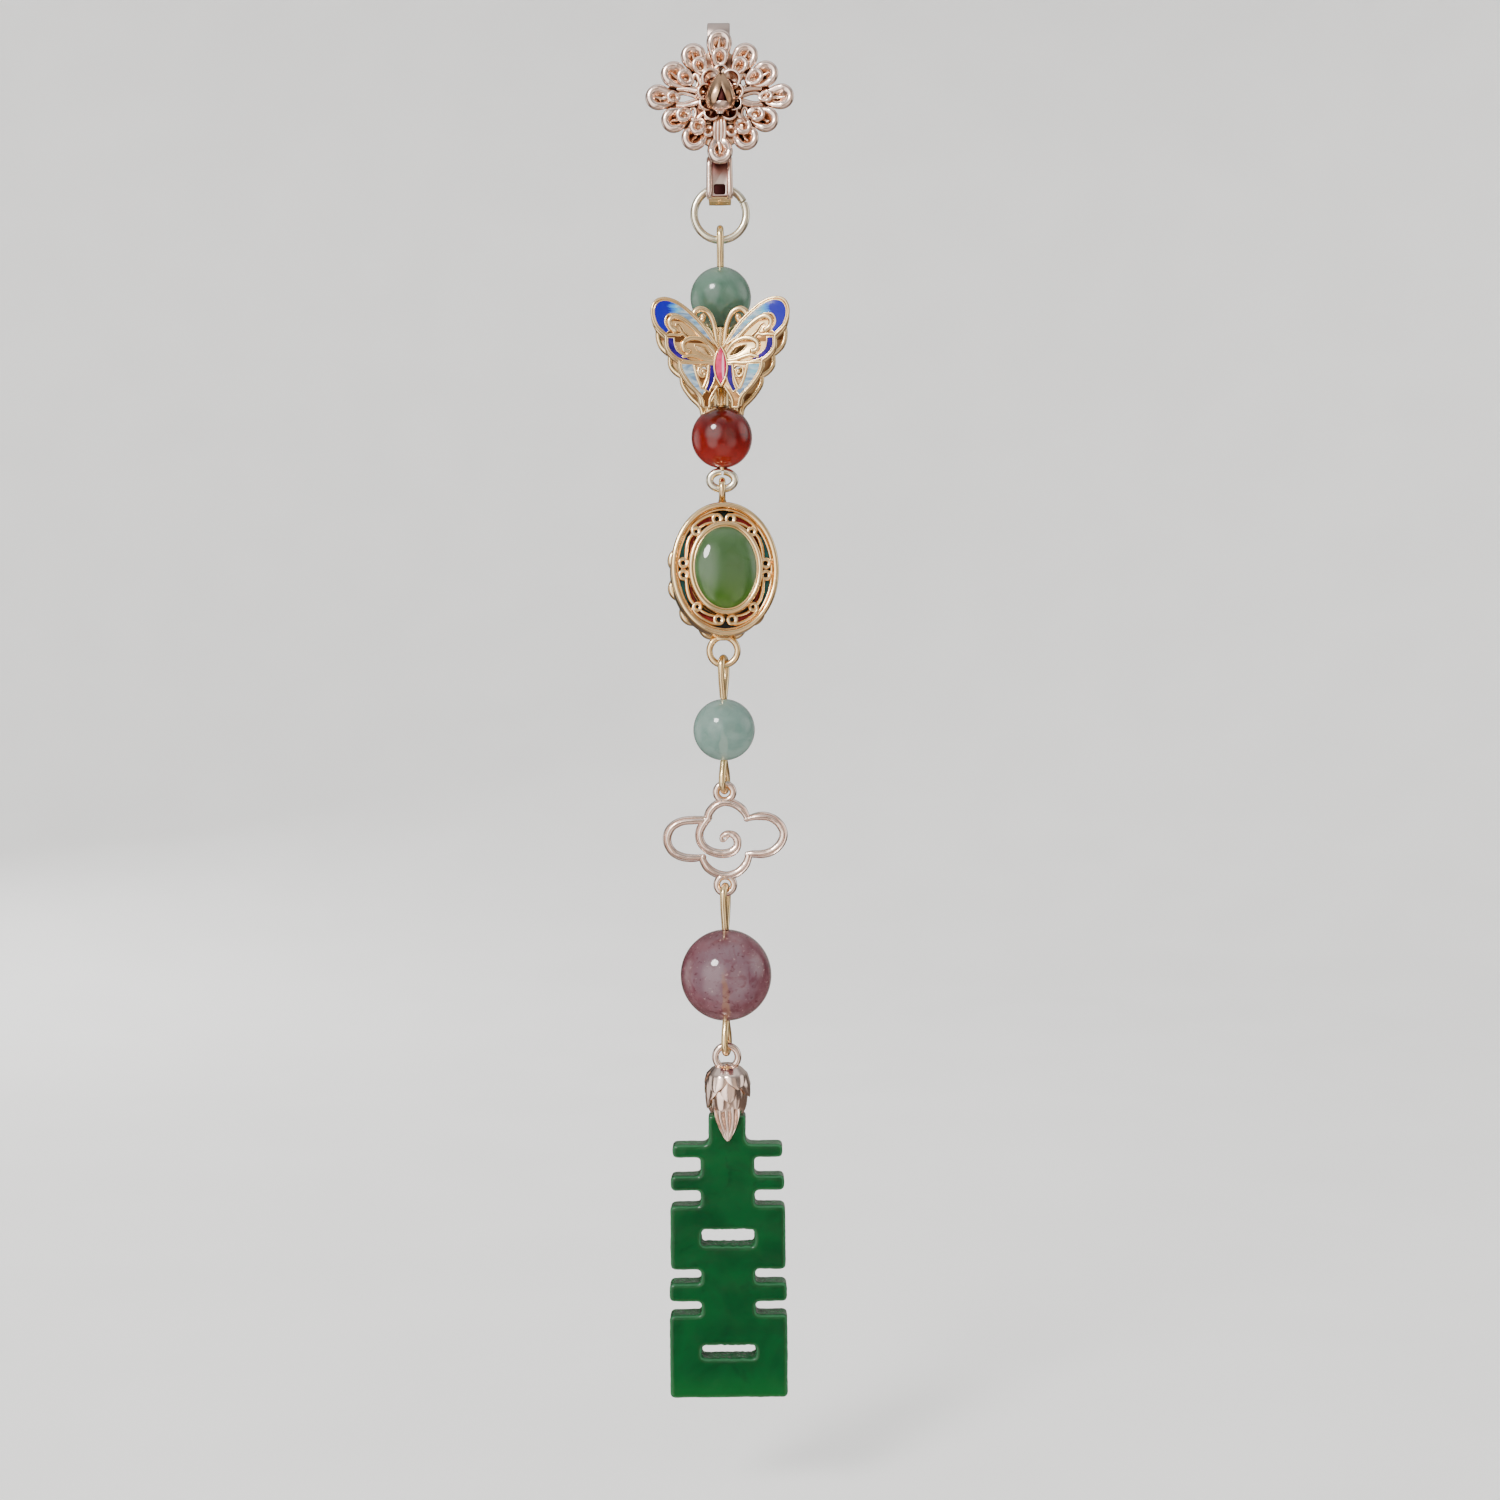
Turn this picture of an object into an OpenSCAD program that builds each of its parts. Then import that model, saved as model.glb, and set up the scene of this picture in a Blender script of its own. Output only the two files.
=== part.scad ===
/* [Hook and loop] */
// Width of the hook strip
hook_w = 2.9; // [2.5:0.1:3.3]
// Width of the folded loop strip
loop_w = 3.3; // [3.1:0.1:3.6]
// Thickness of the strip
strip_t = 0.8; // [0.7:0.05:0.9]
// Inside radius of the hook's and the loop's bends
bend_r = 1.2; // [1.15:0.05:1.3]
// Length of the hook's free leg at the back
leg_l = 13.5; // [9:0.5:14]
// Drop from the hook's crown to the loop's centre
loop_drop = 20.5; // [20.3:0.1:21]

/* [Flower] */
// Drop from the hook's crown to the flower's centre
flower_drop = 10.1; // [9.8:0.1:10.4]
// Mean radius of a petal's rim
petal_r = 1.2; // [1.1:0.05:1.3]
// Radius of a petal's rim wire
petal_rim = 0.42; // [0.38:0.02:0.46]
// Height of the bud above the petals' plate
bud_h = 4.4; // [3.5:0.1:4.6]

/* [Wire and rings] */
// Radius of the pins' wire
pin_r = 0.45; // [0.4:0.01:0.47]
// Mean radius of the eyes on the pins
eye_r = 1.25; // [1.2:0.05:1.3]
// Clearance between linked wires
link_gap = 0.05; // [0.03:0.01:0.08]
// Mean radius of the jump ring
jump_r = 3.37; // [3.3:0.01:3.45]
// Radius of the jump ring's wire
jump_wire = 0.5; // [0.45:0.01:0.5]

/* [Beads] */
// Radius of the three small beads
bead_r = 3.95; // [3.85:0.05:4]
// Radius of the quartz bead
quartz_r = 5.9; // [5.8:0.05:6]
// Radius of the drilled holes
hole_r = 0.6; // [0.55:0.01:0.65]

/* [Butterfly] */
// Distance from the pin's axis to the inside of each butterfly plate
wing_y = 3.6; // [3.6:0.1:3.9]
// Thickness of a butterfly plate
wing_t = 0.85; // [0.8:0.05:1]
// Depth of the enamel cells
cell_t = 0.35; // [0.3:0.05:0.4]
// Turn of each wing towards the viewer
wing_turn = 12; // [8:1:14]

/* [Oval] */
// Half width of the oval's rim
oval_a = 7; // [6.9:0.05:7.1]
// Half height of the oval's rim
oval_b = 8.72; // [8.6:0.05:8.8]
// Half width of the stone
stone_a = 4.15; // [4.1:0.05:4.25]
// Half height of the stone
stone_b = 5.45; // [5.4:0.05:5.6]
// Turn of the oval about the string
oval_turn = 7; // [0:1:8]

/* [Cloud] */
// Radius of the cloud's wire
cloud_wire = 0.52; // [0.48:0.02:0.56]

/* [Tablet] */
// Thickness of the tablet
tablet_t = 3.4; // [3:0.1:3.6]
// Width of the tablet at its foot
tablet_w = 15.2; // [15:0.1:15.4]
// Width of the tablet between the notches
core_w = 7; // [6.8:0.1:7.2]
// Height of the tablet without its neck
tablet_h = 32.7; // [32.5:0.1:33]

/* [Hidden] */
$fn = 48;

rose = "#d9a08c";
gold = "#e0bd6f";
pale_gold = "#ddd09a";

// Levels down the string, each from the one above it
jump_z = -loop_drop - jump_r;
upper_eye_z = jump_z - jump_r + jump_wire + pin_r + link_gap - eye_r;
green_z = -34.75;
red_z = -52.9;
wide_eye_rz = 1.0;
wide_eye_rx = 1.6;
wide_eye_z = red_z - bead_r - 0.1 - pin_r - wide_eye_rz;
oval_wire = 0.43;
oval_eye_r = 1.3;
oval_eye_z = wide_eye_z - wide_eye_rz + pin_r + oval_wire + link_gap - oval_eye_r;
oval_z = -70.4;
oval_ring_r = 1.82;
oval_ring_z = -80.6;
middle_eye_z = oval_ring_z - oval_ring_r + oval_wire + pin_r + link_gap - eye_r;
aqua_z = -90.84;
cloud_ring_r = 1.1;
cloud_ring_z = -98.95;
middle_low_z = cloud_ring_z + cloud_ring_r - 2 * pin_r - link_gap + eye_r;
cloud_z = -104.93;
cloud_low_z = -110.96;
lower_eye_z = cloud_low_z - cloud_ring_r + 2 * pin_r + link_gap - eye_r;
quartz_z = -122.68;
bail_ring_r = 1.47;
bail_ring_z = -133.32;
lower_low_z = bail_ring_z + bail_ring_r - 2 * pin_r - link_gap + eye_r;
fly_z = -44.55;
tablet_z = -144.4;
eye_sink = 0.03;
cut = 20;

// Points on an arc about [x, y]
function arc(x, y, r, a0, a1, n) = [for (i = [0:n]) let (a = a0 + (a1 - a0) * i / n) [x + r * cos(a), y + r * sin(a)]];
// Points on an ellipse
function ellipse(a, b, n) = [for (i = [0:n - 1]) [a * cos(360 * i / n), b * sin(360 * i / n)]];
// Smooth open curve through p, n steps to a stretch
function pt(p, i) = p[max(0, min(len(p) - 1, i))];
function catmull(a, b, c, d, t) =
  0.5 * (2 * b + (c - a) * t + (2 * a - 5 * b + 4 * c - d) * t * t + (3 * b - a - 3 * c + d) * t * t * t);
function smooth(p, n) = [
  for (i = [0:len(p) - 2], k = [0:n - 1]) catmull(pt(p, i - 1), p[i], p[i + 1], pt(p, i + 2), k / n),
  p[len(p) - 1]];
function unit(v) = v / max(norm(v), 1e-9);
// Sideways direction at a point of a path, open or closed, lengthened at a corner
function side(p, i, closed) =
  let (
    m = len(p),
    a = closed ? p[(i + m - 1) % m] : pt(p, i - 1),
    b = closed ? p[(i + 1) % m] : pt(p, i + 1),
    d0 = unit(i == 0 && !closed ? b - p[i] : p[i] - a),
    d1 = unit(i == m - 1 && !closed ? p[i] - a : b - p[i]),
    d = unit(d0 + d1),
    k = 1 / max(0.6, d * d0))
  [-d[1] * k, d[0] * k];
// Flat band of width w along an open path, narrowed to the share tip at its far end
function ribbon(p, w, tip = 1) =
  let (m = len(p) - 1, half = [for (i = [0:m]) w / 2 * (1 + (tip - 1) * i / m)])
  concat(
    [for (i = [0:m]) p[i] + half[i] * side(p, i, false)],
    [for (i = [m:-1:0]) p[i] - half[i] * side(p, i, false)]);

// Stands a flat shape upright, facing the front, with its back at y0
module facing(y0, t) {
  translate([0, y0, 0]) rotate([90, 0, 0]) linear_extrude(t) children();
}

// Round wire swept along a flat path in the XZ plane
module wire(p, r, sides = 8, closed = false, tip = 1) {
  m = len(p);
  rings = [for (i = [0:m - 1]) let (s = side(p, i, closed), q = r * (1 + (tip - 1) * i / (m - 1)))
    for (k = [0:sides - 1]) let (a = 360 * k / sides)
      [p[i][0] + q * cos(a) * s[0], q * sin(a), p[i][1] + q * cos(a) * s[1]]];
  last = closed ? m - 1 : m - 2;
  walls = [for (i = [0:last], k = [0:sides - 1])
    let (j = (i + 1) % m, l = (k + 1) % sides)
    [i * sides + k, i * sides + l, j * sides + l, j * sides + k]];
  caps = closed ? [] : [
    [for (k = [sides - 1:-1:0]) k],
    [for (k = [0:sides - 1]) (m - 1) * sides + k]];
  polyhedron(rings, concat(walls, caps));
}

// Ring of wire facing the front
module ring(mean, r) {
  rotate([90, 0, 0]) rotate_extrude() translate([mean, 0]) circle(r);
}

// Long eye with its point at the origin and its round end h above, seen edge-on from the front
module eye(h) {
  lean = asin(eye_r / h);
  leg = sqrt(h * h - eye_r * eye_r);
  rotate([0, 0, 90]) {
    translate([0, 0, h]) rotate([90, 0, 0])
      rotate_extrude(angle = 180 + 2 * lean, start = -lean) translate([eye_r, 0]) circle(pin_r);
    for (s = [-1, 1]) rotate([0, s * lean, 0]) cylinder(r = pin_r - eye_sink, h = leg + 0.12);
  }
}

// Pin with an eye above and below a bead, both edge-on
module eye_pin(top_eye, top, bottom, bottom_eye) {
  color(gold) {
    translate([0, 0, top]) eye(top_eye - top);
    translate([0, 0, bottom]) mirror([0, 0, 1]) eye(bottom - bottom_eye);
    translate([0, 0, bottom - 0.25]) cylinder(r = pin_r, h = top - bottom + 0.5);
  }
}

module bead(z, r) {
  translate([0, 0, z]) difference() {
    sphere(r);
    cylinder(r = hole_r, h = 3 * r, center = true);
  }
}

// Side view of the bent strip: y across, z up
loop_h = 1.5;
flange_t = 0.35;
flange_w = 0.75;
mid_r = bend_r + strip_t / 2;
toe = [mid_r + 0.7, -bend_r - leg_l - 2];
hook_path = concat([toe, [mid_r, -bend_r - leg_l]], arc(0, -bend_r, mid_r, 0, 180, 16), [[-mid_r, 1 - loop_drop]]);
function stadium(r) = concat(arc(0, -loop_drop, r, 180, 360, 20), arc(0, loop_h - loop_drop, r, 0, 180, 20));
module side_view(w) rotate([90, 0, 90]) translate([0, 0, -w / 2]) linear_extrude(w) children();
module strip() {
  side_view(hook_w) polygon(ribbon(hook_path, strip_t));
  difference() {
    union() {
      side_view(loop_w) polygon(stadium(bend_r + strip_t));
      for (x = [-1, 1]) translate([x * (loop_w - flange_w) / 2, -bend_r - strip_t - flange_t / 2, 2 - loop_drop])
        cube([flange_w, flange_t + 0.4, 4.2], center = true);
      translate([0, -mid_r, 3.2 - loop_drop]) cube([loop_w - 0.05, strip_t - 0.05, 2], center = true);
    }
    side_view(cut) polygon(stadium(bend_r));
    translate([0, -mid_r, -0.5 - loop_drop]) cube([1.5, strip_t + 1, 1.5], center = true);
  }
}

petal_at = [[0, 6.95], [3.31, 5.22], [5.86, 2.93], [7.85, 0], [5.86, -2.93], [3.31, -5.22],
  [0, -6.95], [-3.31, -5.22], [-5.86, -2.93], [-7.85, 0], [-5.86, 2.93], [-3.31, 5.22]];
plate_y = -2.6;
plate_t = 0.9;
module petal(at, r, rim, y) {
  translate([at[0], y, at[1]]) {
    ring(r, rim);
    rotate([90, 0, 0]) translate([0, 0, -0.5]) cylinder(r = r, h = 0.45);
  }
}
// Each petal's neck runs in to the middle, and the gaps between the necks are the flower's openings
module flower() {
  translate([0, 0, -flower_drop]) {
    for (p = petal_at) petal(p, petal_r, petal_rim, plate_y - plate_t);
    difference() {
      union() {
        facing(plate_y, plate_t) polygon(0.97 * petal_at);
        for (p = petal_at) facing(plate_y - 0.1, plate_t) polygon(ribbon([0.1 * p, 0.96 * p], 1.5, 1.4));
      }
      facing(plate_y + 1, plate_t + 2) for (s = [-1, 1]) {
        polygon([[s * 2.6, 0], [s * 4, 0.75], [s * 5.3, 0.55], [s * 5.6, 0], [s * 5.3, -0.5], [s * 4, -0.5]]);
        translate([s * 3.1, 2.0]) circle(0.62);
        translate([s * 3.2, -2.0]) circle(0.62);
        translate([s * 1.3, -3.6]) circle(0.45);
      }
    }
    for (i = [0:7]) let (a = 45 * i + 22.5)
      petal([2.45 * cos(a), 2.45 * sin(a)], 0.62, 0.27, plate_y - plate_t - 0.9);
    translate([0, -1.8, 0]) rotate([90, 0, 0]) cylinder(r = 1.8, h = 2.6);
    translate([0, plate_y - 0.2, 0]) rotate([90, 0, 0]) difference() {
      rotate_extrude() polygon([[0, 0], [2, 0], [2.1, 1.4], [1.95, 2.4], [1.5, 3.4], [0.95, bud_h], [0, bud_h]]);
      translate([0, 0, bud_h - 1.4]) cylinder(r = 0.55, h = 2);
    }
  }
}

module clasp() color(rose) {
  strip();
  flower();
}

module jump_ring() color(pale_gold) translate([0, 0, jump_z]) ring(jump_r, jump_wire);

module upper_pin() color(gold) {
  top = green_z + bead_r;
  bottom = red_z - bead_r;
  translate([0, 0, top]) eye(upper_eye_z - top);
  translate([0, 0, wide_eye_z + wide_eye_rz - 0.1]) cylinder(r = pin_r, h = top - wide_eye_z - wide_eye_rz + 0.3);
  translate([0, 0, wide_eye_z]) wire(ellipse(wide_eye_rx, wide_eye_rz, 24), pin_r, 8, true);
}

module green_bead() color("#7fa58c") bead(green_z, bead_r);
module red_bead() color("#9c1f1c") bead(red_z, bead_r);
module aqua_bead() color("#86aea2") bead(aqua_z, bead_r + 0.05);
module quartz_bead() color("#a0656f") bead(quartz_z, quartz_r);

// Wing outline, from the body's top round the tip to the body's foot
wing_top = [[0.4, 2.3], [2.6, 5.4], [5.15, 7.6], [7.0, 8.35], [8.4, 8.05], [9.0, 6.7], [8.55, 4.9], [7.2, 3.6]];
wing_mid = [[7.2, 3.6], [7.15, 2.1], [6.4, 1.1], [5.5, 0.5]];
wing_low = [[5.5, 0.5], [5.3, -0.8], [4.15, -2.5], [2.75, -3.95], [2.4, -5.3]];
wing_in = [[1.65, -5.3], [1.6, -4.2], [0.65, -2.6]];
wing_outline = concat(
  [[-0.4, 2.3]], smooth(wing_top, 3), smooth(wing_mid, 3), smooth(wing_low, 3), smooth(wing_in, 2), [[-0.4, -2.6]]);
antenna = [[0.5, 2.0], [0.62, 4.8], [1.3, 6.6], [2.4, 7.15], [3.1, 6.5], [2.85, 5.8]];
// Enamel cells of a wing
cobalt_cell = concat(
  smooth([[6.1, 7.65], [7.2, 7.95], [8.1, 7.6], [8.55, 6.6], [8.15, 5.1], [7.1, 3.95]], 2),
  smooth([[6.7, 4.3], [7.3, 5.3], [6.9, 6.2], [6.1, 6.25]], 2));
pale_cell = concat(
  smooth([[0.95, 2.6], [2.8, 5.1], [4.6, 6.85], [5.95, 7.55]], 2),
  smooth([[5.95, 6.2], [5.3, 5.95], [3.9, 4.95], [2.3, 3.55]], 2));
indigo_cell = concat(
  smooth([[6.9, 3.3], [6.75, 2.2], [6.1, 1.35], [5.2, 0.85], [4.1, 0.6]], 2),
  smooth([[4.9, 1.15], [5.8, 1.75], [6.2, 2.5], [6.3, 3.3]], 2));
ice_cell = concat(
  smooth([[5.1, 0.1], [4.9, -0.8], [3.85, -2.4], [2.55, -3.7]], 2),
  smooth([[2.15, -3.2], [2.9, -2.1], [3.55, -0.9], [3.8, 0.15]], 2));
inner_cell = concat(
  smooth([[1.35, 0.15], [1.25, -1.1], [1.35, -2.3], [1.85, -3.2]], 2),
  smooth([[2.1, -2.75], [1.8, -1.7], [1.8, 0.15]], 2));
// Pierced gaps of a wing
wing_gaps = [
  ribbon(smooth([[5.2, 5.1], [4.6, 4.6], [3.9, 3.6]], 3), 0.75, 0.3),
  concat(smooth([[1.25, 1.3], [2.2, 2.45], [3.5, 2.6]], 3), smooth([[3.0, 1.9], [2.1, 1.35]], 2)),
  ribbon(smooth([[2.25, -1.3], [2.9, -0.8], [2.4, -0.15], [1.9, -0.6]], 3), 0.5, 0.7)];
spindle = concat(
  smooth([[0, 2.35], [0.62, 0.9], [0.62, -0.9], [0, -2.35]], 3),
  smooth([[-0.62, -0.9], [-0.62, 0.9]], 3));
cell_gap = 0.05;

// Lays a wing's flat shape on both sides of the body, turned towards the front
module wing_pair(y0, t) {
  for (s = [0, 1]) mirror([s, 0, 0])
    translate([0, -wing_y, fly_z]) rotate([0, 0, -wing_turn]) facing(wing_y + y0, t) children();
}

// Front half: plates, antennae and raised body, with the cells and gaps cut through all of them
module wing_plates() {
  difference() {
    union() {
      wing_pair(-wing_y, wing_t) polygon(wing_outline);
      translate([0, 0, fly_z]) {
        for (s = [0, 1]) mirror([s, 0, 0]) {
          facing(-wing_y - 0.05, wing_t - 0.1) polygon(ribbon(smooth(antenna, 3), 0.7, 0.9));
          facing(-wing_y - 0.08, wing_t - 0.1) translate([2.6, 5.8]) circle(0.5);
        }
        facing(-wing_y + 0.1, wing_t + 0.35) scale([1.45, 1.1]) polygon(spindle);
      }
    }
    wing_pair(-wing_y - wing_t + cell_t, 1) for (c = [cobalt_cell, pale_cell, indigo_cell, ice_cell, inner_cell])
      offset(delta = cell_gap) polygon(c);
    wing_pair(-wing_y + 1, 3) for (g = wing_gaps) polygon(g);
    translate([0, 0, fly_z]) facing(-wing_y - wing_t, 1) offset(delta = cell_gap) polygon(spindle);
  }
}

module butterfly() color(gold) {
  for (s = [0, 1]) mirror([0, s, 0]) wing_plates();
  difference() {
    union() {
      tube_top = green_z - bead_r - 0.1;
      tube_bottom = red_z + bead_r + 0.1;
      translate([0, 0, tube_bottom]) cylinder(r = 1, h = tube_top - tube_bottom);
      for (z = [-1.4, 1.4]) translate([0, 0, fly_z + z]) cube([1.1, 2 * wing_y + 0.3, 1], center = true);
    }
    translate([0, 0, fly_z]) cylinder(r = hole_r, h = cut, center = true);
  }
}

module enamel_cells(cells) {
  wing_pair(-wing_y - wing_t + cell_t - 0.03, cell_t - 0.08) for (c = cells) polygon(c);
}
module butterfly_blue_front() color("#1c2bc4") enamel_cells([cobalt_cell, indigo_cell, inner_cell]);
module butterfly_pale_front() color("#8fb4d6") enamel_cells([pale_cell, ice_cell]);
module butterfly_pink_front() color("#d0486c")
  translate([0, 0, fly_z]) facing(-wing_y - wing_t - 0.03, 0.3) polygon(spindle);
module butterfly_blue_back() mirror([0, 1, 0]) butterfly_blue_front();
module butterfly_pale_back() mirror([0, 1, 0]) butterfly_pale_front();
module butterfly_pink_back() mirror([0, 1, 0]) butterfly_pink_front();

// Oval setting, in its own frame with its centre at the origin
field_y = -1.6;
rim_y = -2.9;
rim_w = 1.05;
bezel_w = 0.55;
bezel_y = -3.7;
scallops = 12;
curl_at = [
  [0.8, 6.95, 0.78], [-0.8, 6.95, 0.78], [0.8, -6.95, 0.78], [-0.8, -6.95, 0.78],
  [5.3, 0.76, 0.74], [5.3, -0.76, 0.74], [-5.3, 0.76, 0.74], [-5.3, -0.76, 0.74],
  [3.15, 5.2, 0.52], [-3.15, 5.2, 0.52], [3.15, -5.2, 0.52], [-3.15, -5.2, 0.52]];
scroll = smooth([[1.3, 6.85], [2.1, 6.5], [3.3, 5.5], [4.05, 4.25], [4.55, 2.7], [4.8, 1.3]], 3);
curl_t = 0.9;
module in_oval() translate([0, 0, oval_z]) rotate([0, 0, oval_turn]) children();

module oval_setting() color(gold) in_oval() {
  difference() {
    facing(1.3, 1.3 - rim_y) polygon(ellipse(oval_a, oval_b, 60));
    facing(field_y, 3) polygon(ellipse(oval_a - rim_w, oval_b - rim_w, 60));
    facing(field_y + 0.9, 4) polygon(ellipse(stone_a - 0.6, stone_b - 0.6, 48));
  }
  difference() {
    facing(field_y + 0.2, field_y + 0.2 - bezel_y) polygon(ellipse(stone_a + bezel_w, stone_b + bezel_w, 60));
    facing(field_y + 1.5, 5) polygon(ellipse(stone_a, stone_b, 60));
  }
  for (c = curl_at) translate([c[0], field_y + 0.1, c[1]]) rotate([90, 0, 0]) difference() {
    cylinder(r = c[2], h = curl_t);
    translate([0, 0, 0.3]) cylinder(r = c[2] - 0.38, h = curl_t);
  }
  for (sx = [0, 1], sz = [0, 1]) mirror([sx, 0, 0]) mirror([0, 0, sz])
    facing(field_y + 0.1, curl_t) polygon(ribbon(scroll, 0.36));
  facing(2.5, 1.3) {
    circle(r = 5.9);
    for (i = [0:scallops - 1]) let (a = 360 * i / scallops + 15)
      translate([5.5 * cos(a), 7.0 * sin(a)]) circle(r = 1.45);
    for (s = [-1, 1]) translate([0, s * 1.7]) circle(r = 5.5);
  }
  translate([0, 0, oval_eye_z - oval_z]) rotate([0, 0, 90]) ring(oval_eye_r, oval_wire);
  translate([0, 0, oval_b - 0.6]) cylinder(r = 0.62, h = oval_eye_z - oval_eye_r - oval_z - oval_b + 0.8);
  translate([0, 0, oval_ring_z - oval_z]) ring(oval_ring_r, oval_wire);
}

// Field of the oval between the bezel and the rim, less its raised curls
module enamel_field() {
  difference() {
    polygon(ellipse(oval_a - rim_w - 0.06, oval_b - rim_w - 0.06, 60));
    polygon(ellipse(stone_a + bezel_w + 0.06, stone_b + bezel_w + 0.06, 60));
    for (c = curl_at) translate([c[0], c[1]]) circle(r = c[2] + 0.06);
    for (sx = [0, 1], sz = [0, 1]) mirror([sx, 0]) mirror([0, sz]) polygon(ribbon(scroll, 0.48));
  }
}
enamel_t = 0.45;
// The field's red zones: inside the scrolls, and beside the curls above and below; k widens them
module red_zones(k) {
  for (sx = [0, 1], sz = [0, 1]) mirror([sx, 0]) mirror([0, sz])
    polygon([[0, 1.4 - k], [0, 5], [0.9 - k, 9], [5.5 + k, 9], [3.4 + k, 5.6], [4.1 + k, 4.25], [4.6 + k, 2.7],
      [4.8 + k, 1.4 - k]]);
}
module oval_red_enamel() color("#8e1f1f") in_oval() facing(field_y - 0.03, enamel_t) intersection() {
  enamel_field();
  red_zones(0);
}
module oval_green_enamel() color("#1d5a50") in_oval() facing(field_y - 0.03, enamel_t) difference() {
  enamel_field();
  red_zones(0.1);
}

stone_h = 2.2;
module oval_cabochon() color("#5f9a45") in_oval() intersection() {
  translate([0, bezel_y + 0.9, 0]) scale([stone_a - 0.06, stone_h, stone_b - 0.06]) sphere(1);
  translate([0, bezel_y + 0.8 - cut / 2, 0]) cube([cut, cut, cut], center = true);
}

module middle_pin() eye_pin(middle_eye_z, aqua_z + bead_r + 0.05, aqua_z - bead_r - 0.05, middle_low_z);
module lower_pin() eye_pin(lower_eye_z, quartz_z + quartz_r, quartz_z - quartz_r, lower_low_z);

// Cloud of wire: four lobes that meet in corners, and a spiral
lobe_left = smooth([[-2.2, 2.5], [-4.7, 2.4], [-6.9, 1.5], [-7.45, 0], [-6.7, -1.65], [-4.7, -2.5], [-2.9, -2.5]], 3);
lobe_low = smooth([[-2.9, -2.5], [-2.1, -3.85], [-0.4, -4.8], [1.7, -4.6], [3.1, -3.3], [3.2, -2.1]], 3);
lobe_right = smooth([[3.2, -2.1], [5.3, -2.1], [7.2, -1.1], [7.75, 0.4], [6.9, 2.3], [5, 2.9], [2.95, 2.5]], 3);
lobe_top = smooth([[2.95, 2.5], [2.3, 4], [0.5, 4.8], [-1.3, 4.1], [-2.2, 2.5]], 3);
spiral = smooth([[-2.2, 2.5], [-3.1, 1.4], [-3.3, 0], [-2.4, -1.3], [-0.5, -1.97], [1.3, -1.5], [1.8, -0.3],
  [1.1, 0.6], [0, 0.4], [-0.4, -0.25]], 3);
function but_last(p) = [for (i = [0:len(p) - 2]) p[i]];
module cloud_charm() color(rose) {
  translate([0, 0, cloud_z]) {
    wire(concat(but_last(lobe_left), but_last(lobe_low), but_last(lobe_right), but_last(lobe_top)),
      cloud_wire, 8, true);
    wire(spiral, cloud_wire * 0.97, 8, false, 0.6);
  }
  for (z = [cloud_ring_z, cloud_low_z]) translate([0, 0, z]) ring(cloud_ring_r, pin_r);
}

// Pointed leaf that hangs from the origin, with a ridge in front and behind
module leaf(l, w, t) {
  polyhedron(
    [[0, 0, 0], [-w / 2, 0, -0.45 * l], [w / 2, 0, -0.45 * l], [0, 0, -l], [0, -t, -0.4 * l], [0, t, -0.4 * l]],
    [[0, 4, 1], [1, 4, 3], [3, 4, 2], [2, 4, 0], [1, 5, 0], [3, 5, 1], [2, 5, 3], [0, 5, 2]]);
}
// Rows of leaves round the cap: drop below the ring, radius, count, length, width, first turn
leaf_rows = [
  [1.1, 1.55, 6, 3.6, 2.5, 0],
  [2.9, 2.35, 8, 4.0, 2.5, 22.5]];
// Long leaves over the tablet's neck: offset across, drop, length, lean
neck_leaves = [[0, 5.3, 4.9, 0], [-1.25, 5.0, 4.2, -9], [1.25, 5.0, 4.2, 9]];
cap_r = 2.75;
peg_r = 1.3;
peg_l = 2.6;
module leaf_bail() color(rose) translate([0, 0, bail_ring_z]) {
  ring(bail_ring_r, pin_r);
  difference() {
    rotate_extrude() polygon(concat(
      [[0, -bail_ring_r + 0.1]],
      smooth([[0.9, -bail_ring_r + 0.1], [2.0, -2.2], [cap_r, -4.0], [cap_r, -5.6], [2.2, -6.8]], 3),
      [[0, -6.8]]));
    translate([0, 0, -6.8 - 5 + peg_l + 0.35]) cylinder(r = peg_r + 0.1, h = 5);
  }
  for (row = leaf_rows, i = [0:row[2] - 1])
    rotate([0, 0, row[5] + 360 * i / row[2]]) translate([0, -row[1], -row[0]]) leaf(row[3], row[4], 0.55);
  for (s = [0, 1], n = neck_leaves) mirror([0, s, 0])
    translate([n[0], -2.25, -n[1]]) rotate([0, n[3], 0]) leaf(n[2], 1.7, 0.42);
}

// Notched tablet: its blocks as rows of top, bottom and width, from the tablet's top edge
block_rows = [[0, 1.7, 14.3], [4.03, 5.97, 14.7], [7.9, 16.15, 14.9], [17.9, 20.3, 15.2], [22, tablet_h, tablet_w]];
slot_rows = [[11, 13.06, 6.9], [25.95, 27.6, 7]];
neck_w = 4.8;
neck_h = 3.75;
corner_r = 0.7;
module block(top, bottom, w) {
  r = min(corner_r, (bottom - top) / 3);
  polygon(concat(
    arc(w / 2 - r, -top - r, r, 90, 0, 5), arc(w / 2 - r, -bottom + r, r, 0, -90, 5),
    arc(-w / 2 + r, -bottom + r, r, -90, -180, 5), arc(-w / 2 + r, -top - r, r, 180, 90, 5)));
}
module jade_tablet() color("#1f6b33") translate([0, 0, tablet_z]) {
  translate([0, tablet_t / 2, 0]) facing(0, tablet_t) difference() {
    union() {
      for (b = block_rows) block(b[0], b[1], b[2]);
      translate([-core_w / 2, -tablet_h + 1]) square([core_w, tablet_h - 1.3]);
      translate([-neck_w / 2, -1]) square([neck_w, neck_h + 1]);
    }
    for (s = slot_rows) translate([-s[2] / 2, -s[1]]) square([s[2], s[1] - s[0]]);
  }
  translate([0, 0, neck_h - 0.5]) cylinder(r = peg_r, h = peg_l + 0.5);
}

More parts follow.
